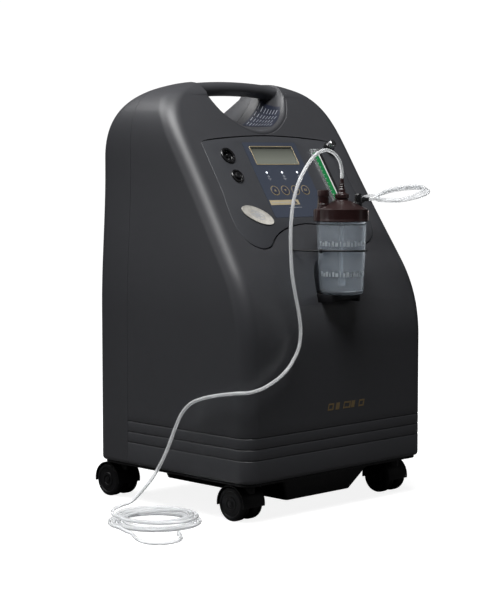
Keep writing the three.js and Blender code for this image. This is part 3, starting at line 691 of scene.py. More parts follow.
# funnel connector at the cannula's far end, with ribs and a soft lip
def buildConnector():
    profile = [(2.2, 0.6), (3.3, 0.6), (3.6, 1.4), (3.6, 4), (3.9, 5), (3.9, 6), (3.6, 6.6), (3.9, 7.4),
               (3.9, 8.4), (3.6, 9), (3.9, 9.8), (3.9, 13.6), (3.2, 15.6), (3.0, 17), (3.4, 18), (3.4, 18.8),
               (2.5, 23.6), (2.2, 24), (1.5, 24), (1.5, 2), (2.2, 0.6)]
    end = turnedPiece("cannulaConnector", profile, 28)
    x, y = cannulaTail[-1][:2]
    turn = Matrix.Rotation(-0.62, 4, "Z") @ Matrix.Rotation(-math.pi / 2, 4, "X")
    moved(end, Matrix.Translation((x, y, 0.004)) @ turn)
    return seat(end, "cabinet", "clearTube", ["cannula_connector"])


def buildCords():
    line = smoothLine(cannulaRun + coilPoints() + cannulaTail)
    piece = layTube("cannulaTube", line, cannula["radius"])
    end = buildConnector()
    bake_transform(piece)
    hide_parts("cannula_tube", "cannula_coil", "cannula_tail")

    line = smoothLine(feedPoints())
    piece = layTube("connectingTube", line, feed["radius"])
    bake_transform(piece)
    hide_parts("connecting_tube")


buildCords()

# ---- cabinet ----
cabinet = {"halfWidth": 0.230, "topHalfWidth": 0.220, "front": -0.186, "rear": 0.209, "bottom": 0.071,
           "top": 0.760, "wall": 0.004, "parting": 0.121, "lean": 0.65, "leanStart": 0.3695,
           "bendReach": 0.075, "crownY": 0.094, "grooves": (0.112, 0.131, 0.150), "grooveDepth": 0.0015,
           "lipRadius": 0.007, "frontCorner": 0.029, "rearCorner": 0.028, "panelHeight": 0.560,
           "seam": 0.0003, "narrowing": (0.350, 0.600), "sideRounding": (0.600, 4.5, 3),
           "rearRounding": (0.620, 2, 1.6), "crown": (0.735, 0.018)}
hand = {"floor": 0.669, "frontCurve": 5.5, "rearCurve": 9, "shoulder": 0.072, "steepening": 27,
        "barY": 0.093, "barZ": 0.746, "barDepth": 0.017, "barHeight": 0.013, "barReach": 0.1356,
        "barEnd": 0.129, "barDrop": 0.008, "spreadLength": 0.040, "reach": 0.1195, "reachLoss": 0.0033,
        "flareTop": 0.733, "beyond": (-0.096, 0.264)}
niche = {"radius": 0.048, "centreY": -0.186, "floor": 0.368, "top": 0.620}
door = {"halfX": 0.081, "halfZ": 0.069, "midZ": 0.470, "slats": 7, "gap": 0.001}
inlet = {"x": 0.120, "z": 0.137, "halfX": 0.024, "halfZ": 0.016, "gap": 0.001}
louvres = {"count": 6, "low": 0.123, "step": 0.014, "x": -0.090, "halfX": 0.060, "halfZ": 0.003}
panelTilt = math.pi / 2 - math.atan(cabinet["lean"])
panelMiddle = (0, cabinet["front"] + cabinet["lean"] * (cabinet["panelHeight"] - cabinet["leanStart"]),
               cabinet["panelHeight"])
panelPlace = Matrix.Translation(panelMiddle) @ Matrix.Rotation(panelTilt, 4, "X")


def clamp(value, low, high):
    return max(low, min(high, value))


# how much of a width is left as the cabinet rounds off from a height up to its top
def roundOff(z, start, power, root):
    t = clamp((z - start) / (cabinet["top"] - start), 0, 1)
    return (1 - t ** power) ** (1 / root)


def halfWidthAt(z):
    start, end = cabinet["narrowing"]
    t = clamp((z - start) / (end - start), 0, 1)
    narrowing = (cabinet["halfWidth"] - cabinet["topHalfWidth"]) * t * t * (3 - 2 * t)
    return (cabinet["halfWidth"] - narrowing) * roundOff(z, *cabinet["sideRounding"])


def frontAt(z):
    slope = math.atan(cabinet["lean"])
    bendRadius = cabinet["bendReach"] / math.tan(slope / 2)
    bendStart = cabinet["leanStart"] - cabinet["bendReach"]
    bendEnd = cabinet["leanStart"] + cabinet["bendReach"] * math.cos(slope)
    crownStart, crownDepth = cabinet["crown"]
    crown = crownDepth * clamp((z - crownStart) / (cabinet["top"] - crownStart), 0, 1) ** 2
    if z <= bendStart:
        return cabinet["front"]
    if z < bendEnd:
        return cabinet["front"] + bendRadius - math.sqrt(bendRadius ** 2 - (z - bendStart) ** 2)
    return cabinet["front"] + cabinet["lean"] * (z - cabinet["leanStart"]) + crown


def rearAt(z):
    return cabinet["crownY"] + (cabinet["rear"] - cabinet["crownY"]) * roundOff(z, *cabinet["rearRounding"])


# a level outline of the cabinet as it is at z, moved to another height if one is given
def sectionAt(z, inset, height=None, steps=10):
    half = halfWidthAt(z) - inset
    front = frontAt(z) + inset
    rear = rearAt(z) - inset
    roomiest = (rear - front) * 0.46
    frontRadius = max(min(cabinet["frontCorner"] - inset, roomiest), 0.002)
    rearRadius = max(min(cabinet["rearCorner"] - inset, roomiest), 0.002)
    corners = [(half - frontRadius, front + frontRadius, frontRadius, -90),
               (half - rearRadius, rear - rearRadius, rearRadius, 0),
               (-half + rearRadius, rear - rearRadius, rearRadius, 90),
               (-half + frontRadius, front + frontRadius, frontRadius, 180)]
    ring = []
    for x, y, radius, start in corners:
        for i in range(steps + 1):
            angle = math.radians(start + 90 * i / steps)
            ring.append((x + radius * math.cos(angle), y + radius * math.sin(angle),
                         z if height is None else height))
    return ring


def heightsBetween(low, high, count):
    return [low + (high - low) * i / count for i in range(count)]


upperHeights = (heightsBetween(0.165, 0.290, 4) + heightsBetween(0.290, 0.440, 20)
                + heightsBetween(0.440, 0.600, 10) + heightsBetween(0.600, 0.700, 12)
                + heightsBetween(0.700, 0.740, 9)
                + [0.740, 0.7435, 0.747, 0.750, 0.7525, 0.7545, 0.7562, 0.7577, 0.759])


def outerBody(grooved):
    z = cabinet["bottom"]
    bottomEdge = [(0.0055, 0), (0.0030, 0.0006), (0.0012, 0.0022), (0.0003, 0.0045), (0, 0.0075)]
    grooveShape = [(-0.0028, 0), (-0.0022, 0.1), (-0.0008, 1), (0.0002, 1), (0.0004, 0.1), (0.0010, 0)]
    rings = [sectionAt(z, inset, z + rise) for inset, rise in bottomEdge]
    for groove in cabinet["grooves"] if grooved else ():
        for rise, share in grooveShape:
            rings.append(sectionAt(groove, cabinet["grooveDepth"] * share, groove + rise))
    rings += [sectionAt(z, 0) for z in upperHeights]
    return loftPiece("shellBody", rings)


def innerBody():
    wall = cabinet["wall"]
    heights = [z for z in upperHeights[::3] if z <= 0.74]
    rings = [sectionAt(cabinet["bottom"], wall, cabinet["bottom"] - 0.02, 5)]
    rings += [sectionAt(z, wall, z - 1.5 * wall, 5) for z in heights]
    return loftPiece("shellHollow", rings)


# how sharply the hand opening's floor curves, from its front part to its rear part
def channelStations():
    front, rear = hand["frontCurve"], hand["rearCurve"]
    return [(0.064, front), (0.084, front + 0.6), (0.104, rear - 0.6), (0.122, rear)]


def channelCurveAt(y):
    stations = channelStations()
    for (y0, c0), (y1, c1) in zip(stations, stations[1:]):
        if y <= y1:
            return c0 + (c1 - c0) * clamp((y - y0) / (y1 - y0), 0, 1)
    return hand["rearCurve"]


# height and slope of the opening's floor: a parabola that steepens beyond its shoulders
def channelShape(x, curve):
    beyond = math.copysign(max(abs(x) - hand["shoulder"], 0), x)
    rise = curve * x * x + hand["steepening"] * beyond * beyond
    return rise, 2 * (curve * x + hand["steepening"] * beyond)


def channelRing(place, curve, outset):
    reach = hand["reach"] - (curve - hand["frontCurve"]) * hand["reachLoss"]
    ring = []
    for i in range(24, -25, -1):
        x = reach * i / 24
        rise, slope = channelShape(x, curve)
        length = math.hypot(1, slope)
        z = hand["floor"] + rise
        ring.append((x + outset * slope / length, place(z), z - outset / length))
    return ring


# the rounded lip where the opening meets a face: the way is 1 at the front and -1 at the rear
def flareRings(depths, curve, outset, faceAt, way):
    lip = cabinet["lipRadius"]
    rings = []
    for depth in depths:
        grown = outset + lip - math.sqrt(max(0, lip ** 2 - (lip - depth) ** 2))
        rings.append(channelRing(lambda z, d=depth: faceAt(min(z, hand["flareTop"])) + way * (d - 0.0002),
                                 curve, grown))
    return rings


# the hand opening, either plain or flared at both ends
def handChannel(outset, flared):
    lip = cabinet["lipRadius"]
    front, rear = hand["frontCurve"], hand["rearCurve"]
    before, behind = hand["beyond"]
    outside = outset + lip if flared else outset
    middle = [channelRing(lambda z, y=y: y, curve, outset) for y, curve in channelStations()]
    if flared:
        depths = [lip * (1 - math.cos(math.radians(15 * k))) for k in range(7)]
        middle = (flareRings(depths, front, outset, frontAt, 1) + middle
                  + flareRings(depths[::-1], rear, outset, rearAt, -1))
    first = channelRing(lambda z: before, front, outside)
    last = channelRing(lambda z: behind, rear, outside)
    return loftPiece("handChannel", [first] + middle + [last])


# a bar that droops to its ends and spreads into the cabinet there
def handleBar():
    rings = []
    for i in range(-30, 31):
        x = hand["barReach"] * i / 30
        drop = hand["barDrop"] * (x / hand["barEnd"]) ** 2
        spread = clamp((abs(x) - hand["shoulder"]) / hand["spreadLength"], 0, 1) ** 2
        ring = []
        for k in range(28):
            angle = math.tau * k / 28
            rise = hand["barHeight"] * math.sin(angle)
            if rise < 0:
                rise *= 1 + 1.6 * spread
            ring.append((x, hand["barY"] + hand["barDepth"] * (1 + 0.9 * spread) * math.cos(angle),
                         hand["barZ"] - drop + rise))
        rings.append(ring)
    return loftPiece("handleBar", rings)


# straight pieces (x, y) and bends (x, y of the pull, x, y of the end)
def curvePoints(start, pieces, steps=8):
    outline = [start]
    for piece in pieces:
        a = outline[-1]
        if len(piece) == 2:
            outline.append(piece)
            continue
        cx, cy, ex, ey = piece
        for i in range(1, steps + 1):
            t = i / steps
            outline.append((a[0] * (1 - t) ** 2 + 2 * cx * t * (1 - t) + ex * t * t,
                            a[1] * (1 - t) ** 2 + 2 * cy * t * (1 - t) + ey * t * t))
    return outline


# outline of the control face, arched over the bottle
def bezelOutline(grow):
    g = grow
    right = [(72, -70 - g, 104 - g, -105 - g), (114, -114 - g, 130, -114 - g),
             (172 + g, -106 - g, 174 + g, -62), (174 + g, -30, 168 + g, 0), (167 + g, 100 + g),
             (166, 106 + g, 158, 107 + g), (80, 117 + g, 0, 118 + g)]
    half = curvePoints((0, -67 - g), right)
    whole = half + [(-x, y) for x, y in reversed(half[1:-1])]
    return [(x / 1000, y / 1000) for x, y in whole]


# the gap round the face: wide along the top and over the bottle, fine at the sides
def gapOutline():
    mixed = []
    for (x0, y0), (x1, y1) in zip(bezelOutline(0.5), bezelOutline(2.3)):
        share = 1 - clamp((abs(x0) - 0.148) / 0.016, 0, 1)
        mixed.append((x0 + (x1 - x0) * share, y0 + (y1 - y0) * share))
    return mixed


def onPanel(piece):
    return moved(piece, panelPlace)


# everything between two depths
def slabBetween(front, rear):
    return boxPiece("slab", (-0.3, front, 0), (0.3, rear, 0.9))


def nicheRod(grow, sides):
    return rodPiece("nicheRoom", niche["radius"] + grow, niche["floor"] - grow, niche["top"],
                    (0, niche["centreY"]), sides)


def buildFrontShell(hollow, channel):
    front = carve(outerBody(True), hollow, keep=True)
    carve(front, channel, keep=True)
    carve(front, slabBetween(-0.3, cabinet["parting"] - cabinet["seam"]), "INTERSECT")
    carve(front, handleBar(), "UNION")
    carve(front, nicheRod(0, 96))
    carve(front, onPanel(raisedPiece("faceHole", gapOutline(), -0.016, 0.016)))
    for side in (-1, 1):
        carve(front, rodPiece("hookHole", 0.0022, -0.150, -0.110, (side * 0.062, 0.459), 20, "y"))

    # the rim of the bottle niche is eased
    def onNicheRim(a, b):
        middle = (a + b) / 2
        radial = math.hypot(middle.x, middle.y - niche["centreY"])
        near = abs(radial - niche["radius"]) < 0.0006
        return near and abs(middle.y - frontAt(middle.z)) < 0.0012 and middle.z > niche["floor"] - 0.001

    pickEdges(front, onNicheRim)
    bpy.ops.mesh.bevel(offset=0.0025, segments=3, affect="EDGES", clamp_overlap=True)
    endEdit()
    seat(front, "cabinet", "charcoal", ["front_shell"], 30)

    return front


def buildRearShell(hollow, channel):
    rear = carve(outerBody(False), hollow)
    carve(rear, channel)
    carve(rear, slabBetween(cabinet["parting"] + cabinet["seam"], 0.3), "INTERSECT")
    doorWay = roundRect(door["halfX"] + door["gap"], door["halfZ"] + door["gap"], 0.006, 0, door["midZ"])
    carve(rear, stoodUp(raisedPiece("doorWay", doorWay, -0.224, -0.190)))
    halfX, halfZ = inlet["halfX"] + inlet["gap"], inlet["halfZ"] + inlet["gap"]
    carve(rear, boxPiece("inletWay", (inlet["x"] - halfX, 0.19, inlet["z"] - halfZ),
                         (inlet["x"] + halfX, 0.23, inlet["z"] + halfZ)))
    for i in range(louvres["count"]):
        z = louvres["low"] + i * louvres["step"]
        opening = roundRect(louvres["halfX"], louvres["halfZ"], 0.0029, louvres["x"], z)
        carve(rear, stoodUp(raisedPiece("louvre", opening, -0.230, -0.190)))
    seat(rear, "cabinet", "charcoal", ["rear_shell"], 30)
    return rear


def buildShells():
    hollow = carve(innerBody(), handChannel(cabinet["wall"], False))
    carve(hollow, nicheRod(cabinet["wall"], 72))
    channel = handChannel(0, True)
    front = buildFrontShell(hollow, channel)
    rear = buildRearShell(hollow, channel)
    print("shells:", len(front.data.polygons), len(rear.data.polygons))


buildShells()

# ---- control face ----
face = {"filmHalfX": 0.068, "filmLow": -0.054, "filmHigh": 0.104, "screenHalfX": 0.053, "screenLow": 0.058,
        "screenHigh": 0.094, "lampX": (-0.039, 0, 0.039), "lampY": 0.040,
        "keyX": (-0.039, -0.013, 0.013, 0.039), "keyY": 0.002, "keyRadius": 0.008}
ports = {"nebulizer": (-0.117, 0.076), "breaker": (-0.116, 0.033), "knob": (0.150, 0.092),
         "outlet": (0.118, -0.046), "meterX": 0.110, "meterLow": -0.026, "meterHigh": 0.088,
         "meterHalf": 0.012}


def panelPiece(piece, body, finishName, stands=(), angle=32):
    onPanel(piece)
    return seat(piece, body, finishName, stands, angle)


# room for the display, with a margin round it
def screenRoom(margin):
    half = face["screenHalfX"] + margin
    return boxPiece("screenWay", (-half, face["screenLow"] - margin, -0.01),
                    (half, face["screenHigh"] + margin, 0.01))


def buildFace():
    bezel = raisedPiece("controlFace", bezelOutline(0), -0.0036, 0)
    pickEdges(bezel, lambda a, b: abs(a.z) < 1e-6 and abs(b.z) < 1e-6)
    bpy.ops.mesh.bevel(offset=0.0008, segments=3, affect="EDGES")
    endEdit()
    middleY = (face["filmLow"] + face["filmHigh"]) / 2
    halfY = (face["filmHigh"] - face["filmLow"]) / 2
    pocket = roundRect(face["filmHalfX"] + 0.0003, halfY + 0.0003, 0.003, 0, middleY)
    carve(bezel, raisedPiece("filmPocket", pocket, -0.0012, 0.01))
    screenY = (face["screenLow"] + face["screenHigh"]) / 2
    screenHalf = (face["screenHigh"] - face["screenLow"]) / 2
    carve(bezel, screenRoom(0.001))
    holes = [(x, face["keyY"], face["keyRadius"] + 0.0006) for x in face["keyX"]]
    holes += [(x, face["lampY"], 0.0026) for x in face["lampX"]]
    holes += [(*ports["nebulizer"], 0.0145), (*ports["breaker"], 0.0120), (*ports["knob"], 0.0040),
              (*ports["outlet"], 0.0050)]
    for x, y, radius in holes:
        carve(bezel, rodPiece("faceHole", radius, -0.01, 0.01, (x, y), 40))
    meterY = (ports["meterLow"] + ports["meterHigh"]) / 2
    meterHalfY = (ports["meterHigh"] - ports["meterLow"]) / 2
    meterHole = roundRect(ports["meterHalf"] + 0.0006, meterHalfY + 0.0006, 0.002, ports["meterX"], meterY)
    carve(bezel, raisedPiece("meterWay", meterHole, -0.01, 0.01))
    panelPiece(bezel, "cabinet", "faceplate", ["control_bezel"])

    film = raisedPiece("panelFilm", roundRect(face["filmHalfX"], halfY, 0.003, 0, middleY), -0.0008, 0.0004)
    carve(film, screenRoom(0.0003))
    for x in face["keyX"]:
        carve(film, rodPiece("keyWay", face["keyRadius"] + 0.0004, -0.01, 0.01, (x, face["keyY"]), 40))
    for x in face["lampX"]:
        carve(film, rodPiece("lampWay", 0.0024, -0.01, 0.01, (x, face["lampY"]), 24))
    panelPiece(film, "cabinet", "film", ["panel_overlay"])

    # display: a framed pane with a sunk screen
    pane = raisedPiece("displayWindow", roundRect(face["screenHalfX"], screenHalf, 0.0015, 0, screenY),
                       -0.0024, 0.0002)
    pickFaces(pane, lambda c, n: n.z > 0.9)
    bpy.ops.mesh.inset(thickness=0.0012)
    bpy.ops.mesh.extrude_region_move(TRANSFORM_OT_translate={"value": (0, 0, -0.0014)})
    endEdit()
    panelPiece(pane, "cabinet", "display", ["lcd_window"])

    for i, x in enumerate(face["lampX"]):
        profile = [(0, -2.5), (2, -2.5), (2, 0.5), (1.6, 1.0), (0.9, 1.3), (0, 1.4)]
        lens = turnedPiece(f"statusLamp{i + 1}", profile, 24, (x, face["lampY"], -0.0004))
        panelPiece(lens, "cabinet", "lamp", [f"status_lamp_{i + 1}"])
    buildPrint(screenY, screenHalf)
    buildKeys()


def flatRing(name, x, y, outer, inner, low, high, sides=40):
    ring = rodPiece(name, outer, low, high, (x, y), sides)
    return carve(ring, rodPiece("ringHole", inner, low - 0.01, high + 0.01, (x, y), sides))


# the printed marks that stand a hair above the film
def buildPrint(screenY, screenHalf):
    low, high = 0.0004, 0.00062
    outline = roundRect(face["screenHalfX"] + 0.0022, screenHalf + 0.0020, 0.002, 0, screenY)
    frameOut = raisedPiece("goldFrame", outline, low, 0.0009)
    carve(frameOut, screenRoom(0.0002))
    soften(frameOut, 0.00025, 1)
    gold = [frameOut]
    for x in face["keyX"]:
        gold.append(flatRing("goldRing", x, face["keyY"], 0.0100, 0.0086, low, high))
    panelPiece(joined("goldMarks", gold), "cabinet", "gold")

    strip = raisedPiece("goldStrip", [(-0.065, -0.028), (0.008, -0.028), (0.008, -0.018), (-0.065, -0.018)],
                        low, high)
    notch = raisedPiece("stripNotch", [(-0.004, -0.0266), (0.004, -0.0266), (0, -0.0194)], -0.01, 0.01)
    panelPiece(carve(strip, notch), "cabinet", "paleGold")

    pale = []
    for x in face["lampX"]:
        pale.append(flatRing("lampMark", x, 0.0315, 0.0022, 0.0015, low, high, 20))
        pale.append(boxPiece("lampMark", (x - 0.0035, 0.0262, low), (x + 0.0035, 0.0269, high)))
        pale.append(boxPiece("lampMark", (x - 0.0022, 0.0242, low), (x + 0.0022, 0.0248, high)))
    for i in range(9):
        start = -0.022 + i * 0.0036
        pale.append(boxPiece("lineMark", (start, -0.0345, low), (start + 0.0024, -0.0335, high)))
    for i in range(14):
        start = -0.061 + i * 0.0037
        if start < -0.008:
            pale.append(boxPiece("stripMark", (start, -0.0238, high),
                                 (start + 0.0022, -0.0224, high + 0.0001)))
    panelPiece(joined("paleMarks", pale), "cabinet", "palePrint")


# key caps, each with its own small mark
def buildKeys():
    radius = face["keyRadius"] * 1000
    marks = [
        [[(-0.003, -0.0022), (0.003, -0.0022), (0, 0.003)]],
        [[(-0.003, 0.0022), (0, -0.003), (0.003, 0.0022)]],
        [[(-0.003, -0.0007), (0.003, -0.0007), (0.003, 0.0007), (-0.003, 0.0007)],
         [(-0.0007, -0.003), (0.0007, -0.003), (0.0007, 0.003), (-0.0007, 0.003)]],
        [[(-0.003, -0.0025), (-0.001, -0.0025), (-0.001, 0.0025), (-0.003, 0.0025)],
         [(0.001, -0.0025), (0.003, -0.0025), (0.003, 0.0025), (0.001, 0.0025)]],
    ]
    for i, x in enumerate(face["keyX"]):
        profile = [(0, -3.2), (radius, -3.2), (radius, 0.4), (radius - 0.5, 1.0), (radius - 1.4, 1.2),
                   (4.6, 0.98), (0, 0.9)]
        cap = turnedPiece(f"key{i + 1}", profile, 36, (x, face["keyY"], 0))
        panelPiece(cap, f"key_{i + 1}", "capPlastic", [f"key_{i + 1}"])
        signs = [raisedPiece("keySign", [(px + x, py + face["keyY"]) for px, py in shape], 0.0007, 0.00118)
                 for shape in marks[i]]
        panelPiece(joined(f"keyMark{i + 1}", signs), f"key_{i + 1}", "gold")


buildFace()
print("control face built")


# ---- ports, badge, flow meter ----
def buildPorts():
    x, y = ports["nebulizer"]
    profile = [(4, -12), (12, -12), (12, -4.2), (14, -4.2), (14, 0.4), (16, 0.4), (16, 1.6), (15.6, 2.4),
               (14.8, 3.0), (13.6, 3.2), (12.4, 3.2), (11.6, 2.9), (11.2, 2.2), (11.0, -1.5), (10.6, -1.9),
               (9.6, -2.0), (9.3, -2.6), (9.1, -8), (4, -8), (4, -12)]
    ring = turnedPiece("nebulizerRing", profile, 56, (x, y, 0))
    profile = [(1.6, -12), (6, -12), (6, -7.5), (4.4, -7.4), (4.0, -6), (3.4, -4.5), (3.8, -3.4),
               (3.2, -1.6), (3.6, -0.6), (2.9, 1.9), (2.4, 2.4), (1.8, 2.4), (1.6, 2.0), (1.6, -12)]
    nipple = turnedPiece("nipple", profile, 32, (x, y, 0))
    panelPiece(joined("nebulizerPort", [ring, nipple]), "cabinet", "glossBlack",
               ["nebulizer_port"])

    x, y = ports["breaker"]
    collar = [(6.7, -10), (11.5, -10), (11.5, 0.4), (13.5, 0.4), (13.5, 1.5), (13.1, 2.3), (12.3, 2.8),
              (10.4, 2.8), (9.7, 2.4), (9.4, 1.6), (8.8, 0.8), (8.2, 0.6), (6.7, 0.6), (6.7, -10)]
    panelPiece(turnedPiece("breakerCollar", collar, 48, (x, y, 0)), "cabinet",
               "glossBlack", ["breaker_collar"])
    button = [(0, -14), (6.2, -14), (6.2, 3.3), (5.9, 4.0), (5.2, 4.4), (3.6, 4.4), (3.3, 4.1), (0, 4.0)]
    panelPiece(turnedPiece("breakerButton", button, 40, (x, y, 0)), "breaker_button",
               "black", ["breaker_button"])

    x, y = ports["outlet"]
    barb = [(1.6, -12), (4.6, -12), (4.6, 0.4), (7.6, 0.4), (8, 0.8), (8, 4.6), (7.6, 5), (5, 5.6),
            (4.2, 6.4), (4, 11), (3.2, 12), (3.8, 13.5), (3.0, 16), (3.6, 17), (2.9, 19.6), (3.3, 20.4),
            (2.6, 23), (1.6, 23), (1.6, -12)]
    panelPiece(turnedPiece("outletBarb", barb, 40, (x, y, 0)), "cabinet", "steel",
               ["oxygen_outlet"])


badge = {"centre": (-0.110, -0.048), "halfLong": 0.035, "halfShort": 0.0155, "turn": -0.42}


def buildBadge():
    circle = ringOf(1, 0, 360, 64)[:-1]
    outline = [(badge["halfLong"] * x, badge["halfShort"] * y) for x, y in circle]
    place = Matrix.Translation((*badge["centre"], 0)) @ Matrix.Rotation(badge["turn"], 4, "Z")
    body = raisedPiece("badgeBody", outline, 0.0004, 0.0020)
    pickFaces(body, lambda c, n: n.z > 0.9)
    bpy.ops.mesh.inset(thickness=0.0011)
    bpy.ops.mesh.extrude_region_move(TRANSFORM_OT_translate={"value": (0, 0, -0.0004)})
    endEdit()
    soften(body, 0.0003, 2, 40)
    panelPiece(moved(body, place), "cabinet", "badge", ["oval_badge"])

    # a plain mark: two facing arcs around three bars
    low, high = 0.0015, 0.0018
    outlines = [[(x * 2.3, y) for x, y in ringArc(0.0072, 0.0062, first, first + 140, 24)]
                for first in (20, 200)]
    outlines += [roundRect(0.0105, 0.0010, 0.0008), roundRect(0.0060, 0.0007, 0.0006, 0, 0.0032),
                 roundRect(0.0060, 0.0007, 0.0006, 0, -0.0032)]
    marks = [moved(raisedPiece("badgeLine", points, low, high), place) for points in outlines]
    panelPiece(joined("badgeMark", marks), "cabinet", "palePrint")


def buildMeter():
    x = ports["meterX"]
    low, high = ports["meterLow"], ports["meterHigh"]
    middle, half = (low + high) / 2, (high - low) / 2
    body = raisedPiece("flowMeterBlock", roundRect(ports["meterHalf"], half, 0.0015, x, middle), -0.016,
                       0.005)
    soften(body, 0.0008, 2, 40)
    bore = rodPiece("floatBore", 0.004, low + 0.006, high + 0.03, (x, -0.004), 36, "y")
    panelPiece(carve(body, bore), "cabinet", "clearBlock", ["flow_meter_block"])
    paintPiece(nodes["flow_float"], "steel")

    # on the block: a printed green band, a white band with ticks, and a black sheet of painted shade down its
    # right side
    printLow, printHigh = 0.0050, 0.0053
    green = raisedPiece("greenBand", roundRect(0.0056, half - 0.006, 0.0008, x - 0.0050, middle - 0.003),
                        printLow, printHigh)
    panelPiece(green, "cabinet", "green")
    scale = [raisedPiece("whiteBand", roundRect(0.0014, half - 0.004, 0.0006, x + 0.0026, middle - 0.001),
                         printLow, printHigh)]
    for i in range(11):
        reach = 0.0034 if i % 5 == 0 else 0.0022
        rise = low + 0.014 + i * 0.0085
        scale.append(boxPiece("tick", (x - 0.0100, rise, printHigh),
                              (x - 0.0100 + reach, rise + 0.0007, printHigh + 0.00015)))
    panelPiece(joined("meterScale", scale), "cabinet", "white")
    # a black sheet: painted shade down the block's right side
    shade = raisedPiece("meterPaintedShade", roundRect(0.0034, half - 0.003, 0.0008, x + 0.0080, middle), printLow,
                        printHigh)
    panelPiece(shade, "cabinet", "black")

    kx, ky = ports["knob"]
    profile = [(0, -14), (3.6, -14), (3.6, 1), (9.2, 1.2), (9.8, 1.9), (10, 3), (9.9, 9.4), (9.4, 10.2),
               (8.4, 11), (0, 11)]
    base = turnedPiece("knobBase", profile, 72, (0, 0, 0))
    for vertex in base.data.vertices:
        radial = math.hypot(vertex.co.x, vertex.co.y)
        if radial > 0.0094 and 0.0019 < vertex.co.z < 0.0101:
            angle = math.atan2(vertex.co.y, vertex.co.x)
            if round(angle / math.tau * 72) % 3 == 0:
                vertex.co.x *= 0.93
                vertex.co.y *= 0.93
    moved(base, Matrix.Translation((kx, ky, 0)))
    panelPiece(base, "flow_knob", "glossBlack", ["flow_knob"])
    cap = [(0, 11), (8.2, 11), (8.0, 12), (7.7, 17.2), (7.3, 18.4), (6.6, 19.3), (5.6, 19.8), (0, 20)]
    panelPiece(turnedPiece("knobCap", cap, 48, (kx, ky, 0)), "flow_knob", "steel")


buildPorts()
buildBadge()
buildMeter()
print("ports, badge and meter built")

# ---- label in the hand opening and the mark on the front ----
handLabel = {"x": (0.038, 0.086), "back": 0.100, "lift": 0.0004, "margin": 0.004, "rows": 9,
             "rowStart": 0.032, "rowStep": 0.0075, "dashes": 4, "dashStep": 0.0108, "dashLength": 0.0072,
             "dashWidth": 0.0010, "slant": 0.1}
frontMark = {"left": -0.034, "step": 0.020, "low": 0.179, "high": 0.191, "slant": 0.003,
             "widths": (0.014, 0.009, 0.018, 0.009, 0.014)}


# a thin sheet laid on the floor of the hand opening
def channelPatch(name, xRange, yAt, lift, steps=14, rows=16):
    points, faces = [], []
    for j in range(rows + 1):
        for i in range(steps + 1):
            x = between(xRange, i / steps)
            y = between(yAt(x), j / rows)
            rise, slope = channelShape(x, channelCurveAt(y))
            length = math.hypot(1, slope)
            points.append((x - lift * slope / length, y, hand["floor"] + rise + lift / length))
    for j in range(rows):
        for i in range(steps):
            a = j * (steps + 1) + i
            faces.append((a, a + 1, a + steps + 2, a + steps + 1))
    piece = meshFrom(name, points, faces)
    return modify(piece, "SOLIDIFY", thickness=0.0002, offset=-1)


def frontEdgeAt(x):
    return frontAt(hand["floor"] + channelShape(x, hand["frontCurve"])[0]) + 0.010


def buildHandLabel():
    x0, x1 = handLabel["x"]
    patch = channelPatch("handLabel", (x0, x1), lambda x: (frontEdgeAt(x), handLabel["back"]),
                         handLabel["lift"])
    seat(patch, "cabinet", "labelNavy")
    first = x0 + handLabel["margin"]
    lines = []
    for row in range(handLabel["rows"]):
        start = handLabel["rowStart"] + row * handLabel["rowStep"]

        def stripe(x, s=start):
            y = s + (x - first) * handLabel["slant"]
            return y, y + handLabel["dashWidth"]

        for k in range(handLabel["dashes"]):
            left = first + k * handLabel["dashStep"]
            right = left + handLabel["dashLength"]
            low, high = frontEdgeAt(right) + 0.002, handLabel["back"] - 0.003
            if stripe(left)[0] > low and stripe(right)[1] < high:
                lines.append(channelPatch("labelLine", (left, right), stripe, handLabel["lift"] + 0.0002,
                                          4, 1))
    seat(joined("handLabelLines", lines), "cabinet", "palePrint")


# a plain row of slanted bars and frames
def buildFrontMark():
    low, high, slant = frontMark["low"], frontMark["high"], frontMark["slant"]
    bars = []
    for i, width in enumerate(frontMark["widths"]):
        start = frontMark["left"] + i * frontMark["step"]
        end = start + width
        outline = [(start, low), (end, low), (end + slant, high), (start + slant, high)]
        bar = raisedPiece("markBar", outline, -0.0001, 0.0003)
        hole = [(start + 0.0028, low + 0.0028), (end - 0.0022, low + 0.0028),
                (end - 0.0008, high - 0.0028), (start + 0.0042, high - 0.0028)]
        if width > 0.010:
            carve(bar, raisedPiece("markHole", hole, -0.01, 0.01))
        bars.append(stoodUp(bar, cabinet["front"]))
    seat(joined("frontMark", bars), "cabinet", "mutedGold")


buildHandLabel()
buildFrontMark()

# ---- humidifier ----
bottle = {"y": -0.186, "base": 383, "lidBase": 509.5, "lidTop": 532, "lidRadius": 46, "neck": 40.4,
          "ribs": 60, "ribDepth": 0.0011}
turret = {"post": (-0.030, -0.170, 0), "ear": (-0.034, -0.168, 0)}
elbow = {"x": 0.027, "y": -0.200, "z": 0.547}


# a place on a circle round the bottle's axis, with local Y pointing inwards
def onJar(radius, degrees, height):
    angle = math.radians(degrees)
    place = (radius * math.cos(angle), bottle["y"] + radius * math.sin(angle), height)
    return Matrix.Translation(place) @ Matrix.Rotation(angle + math.pi / 2, 4, "Z")


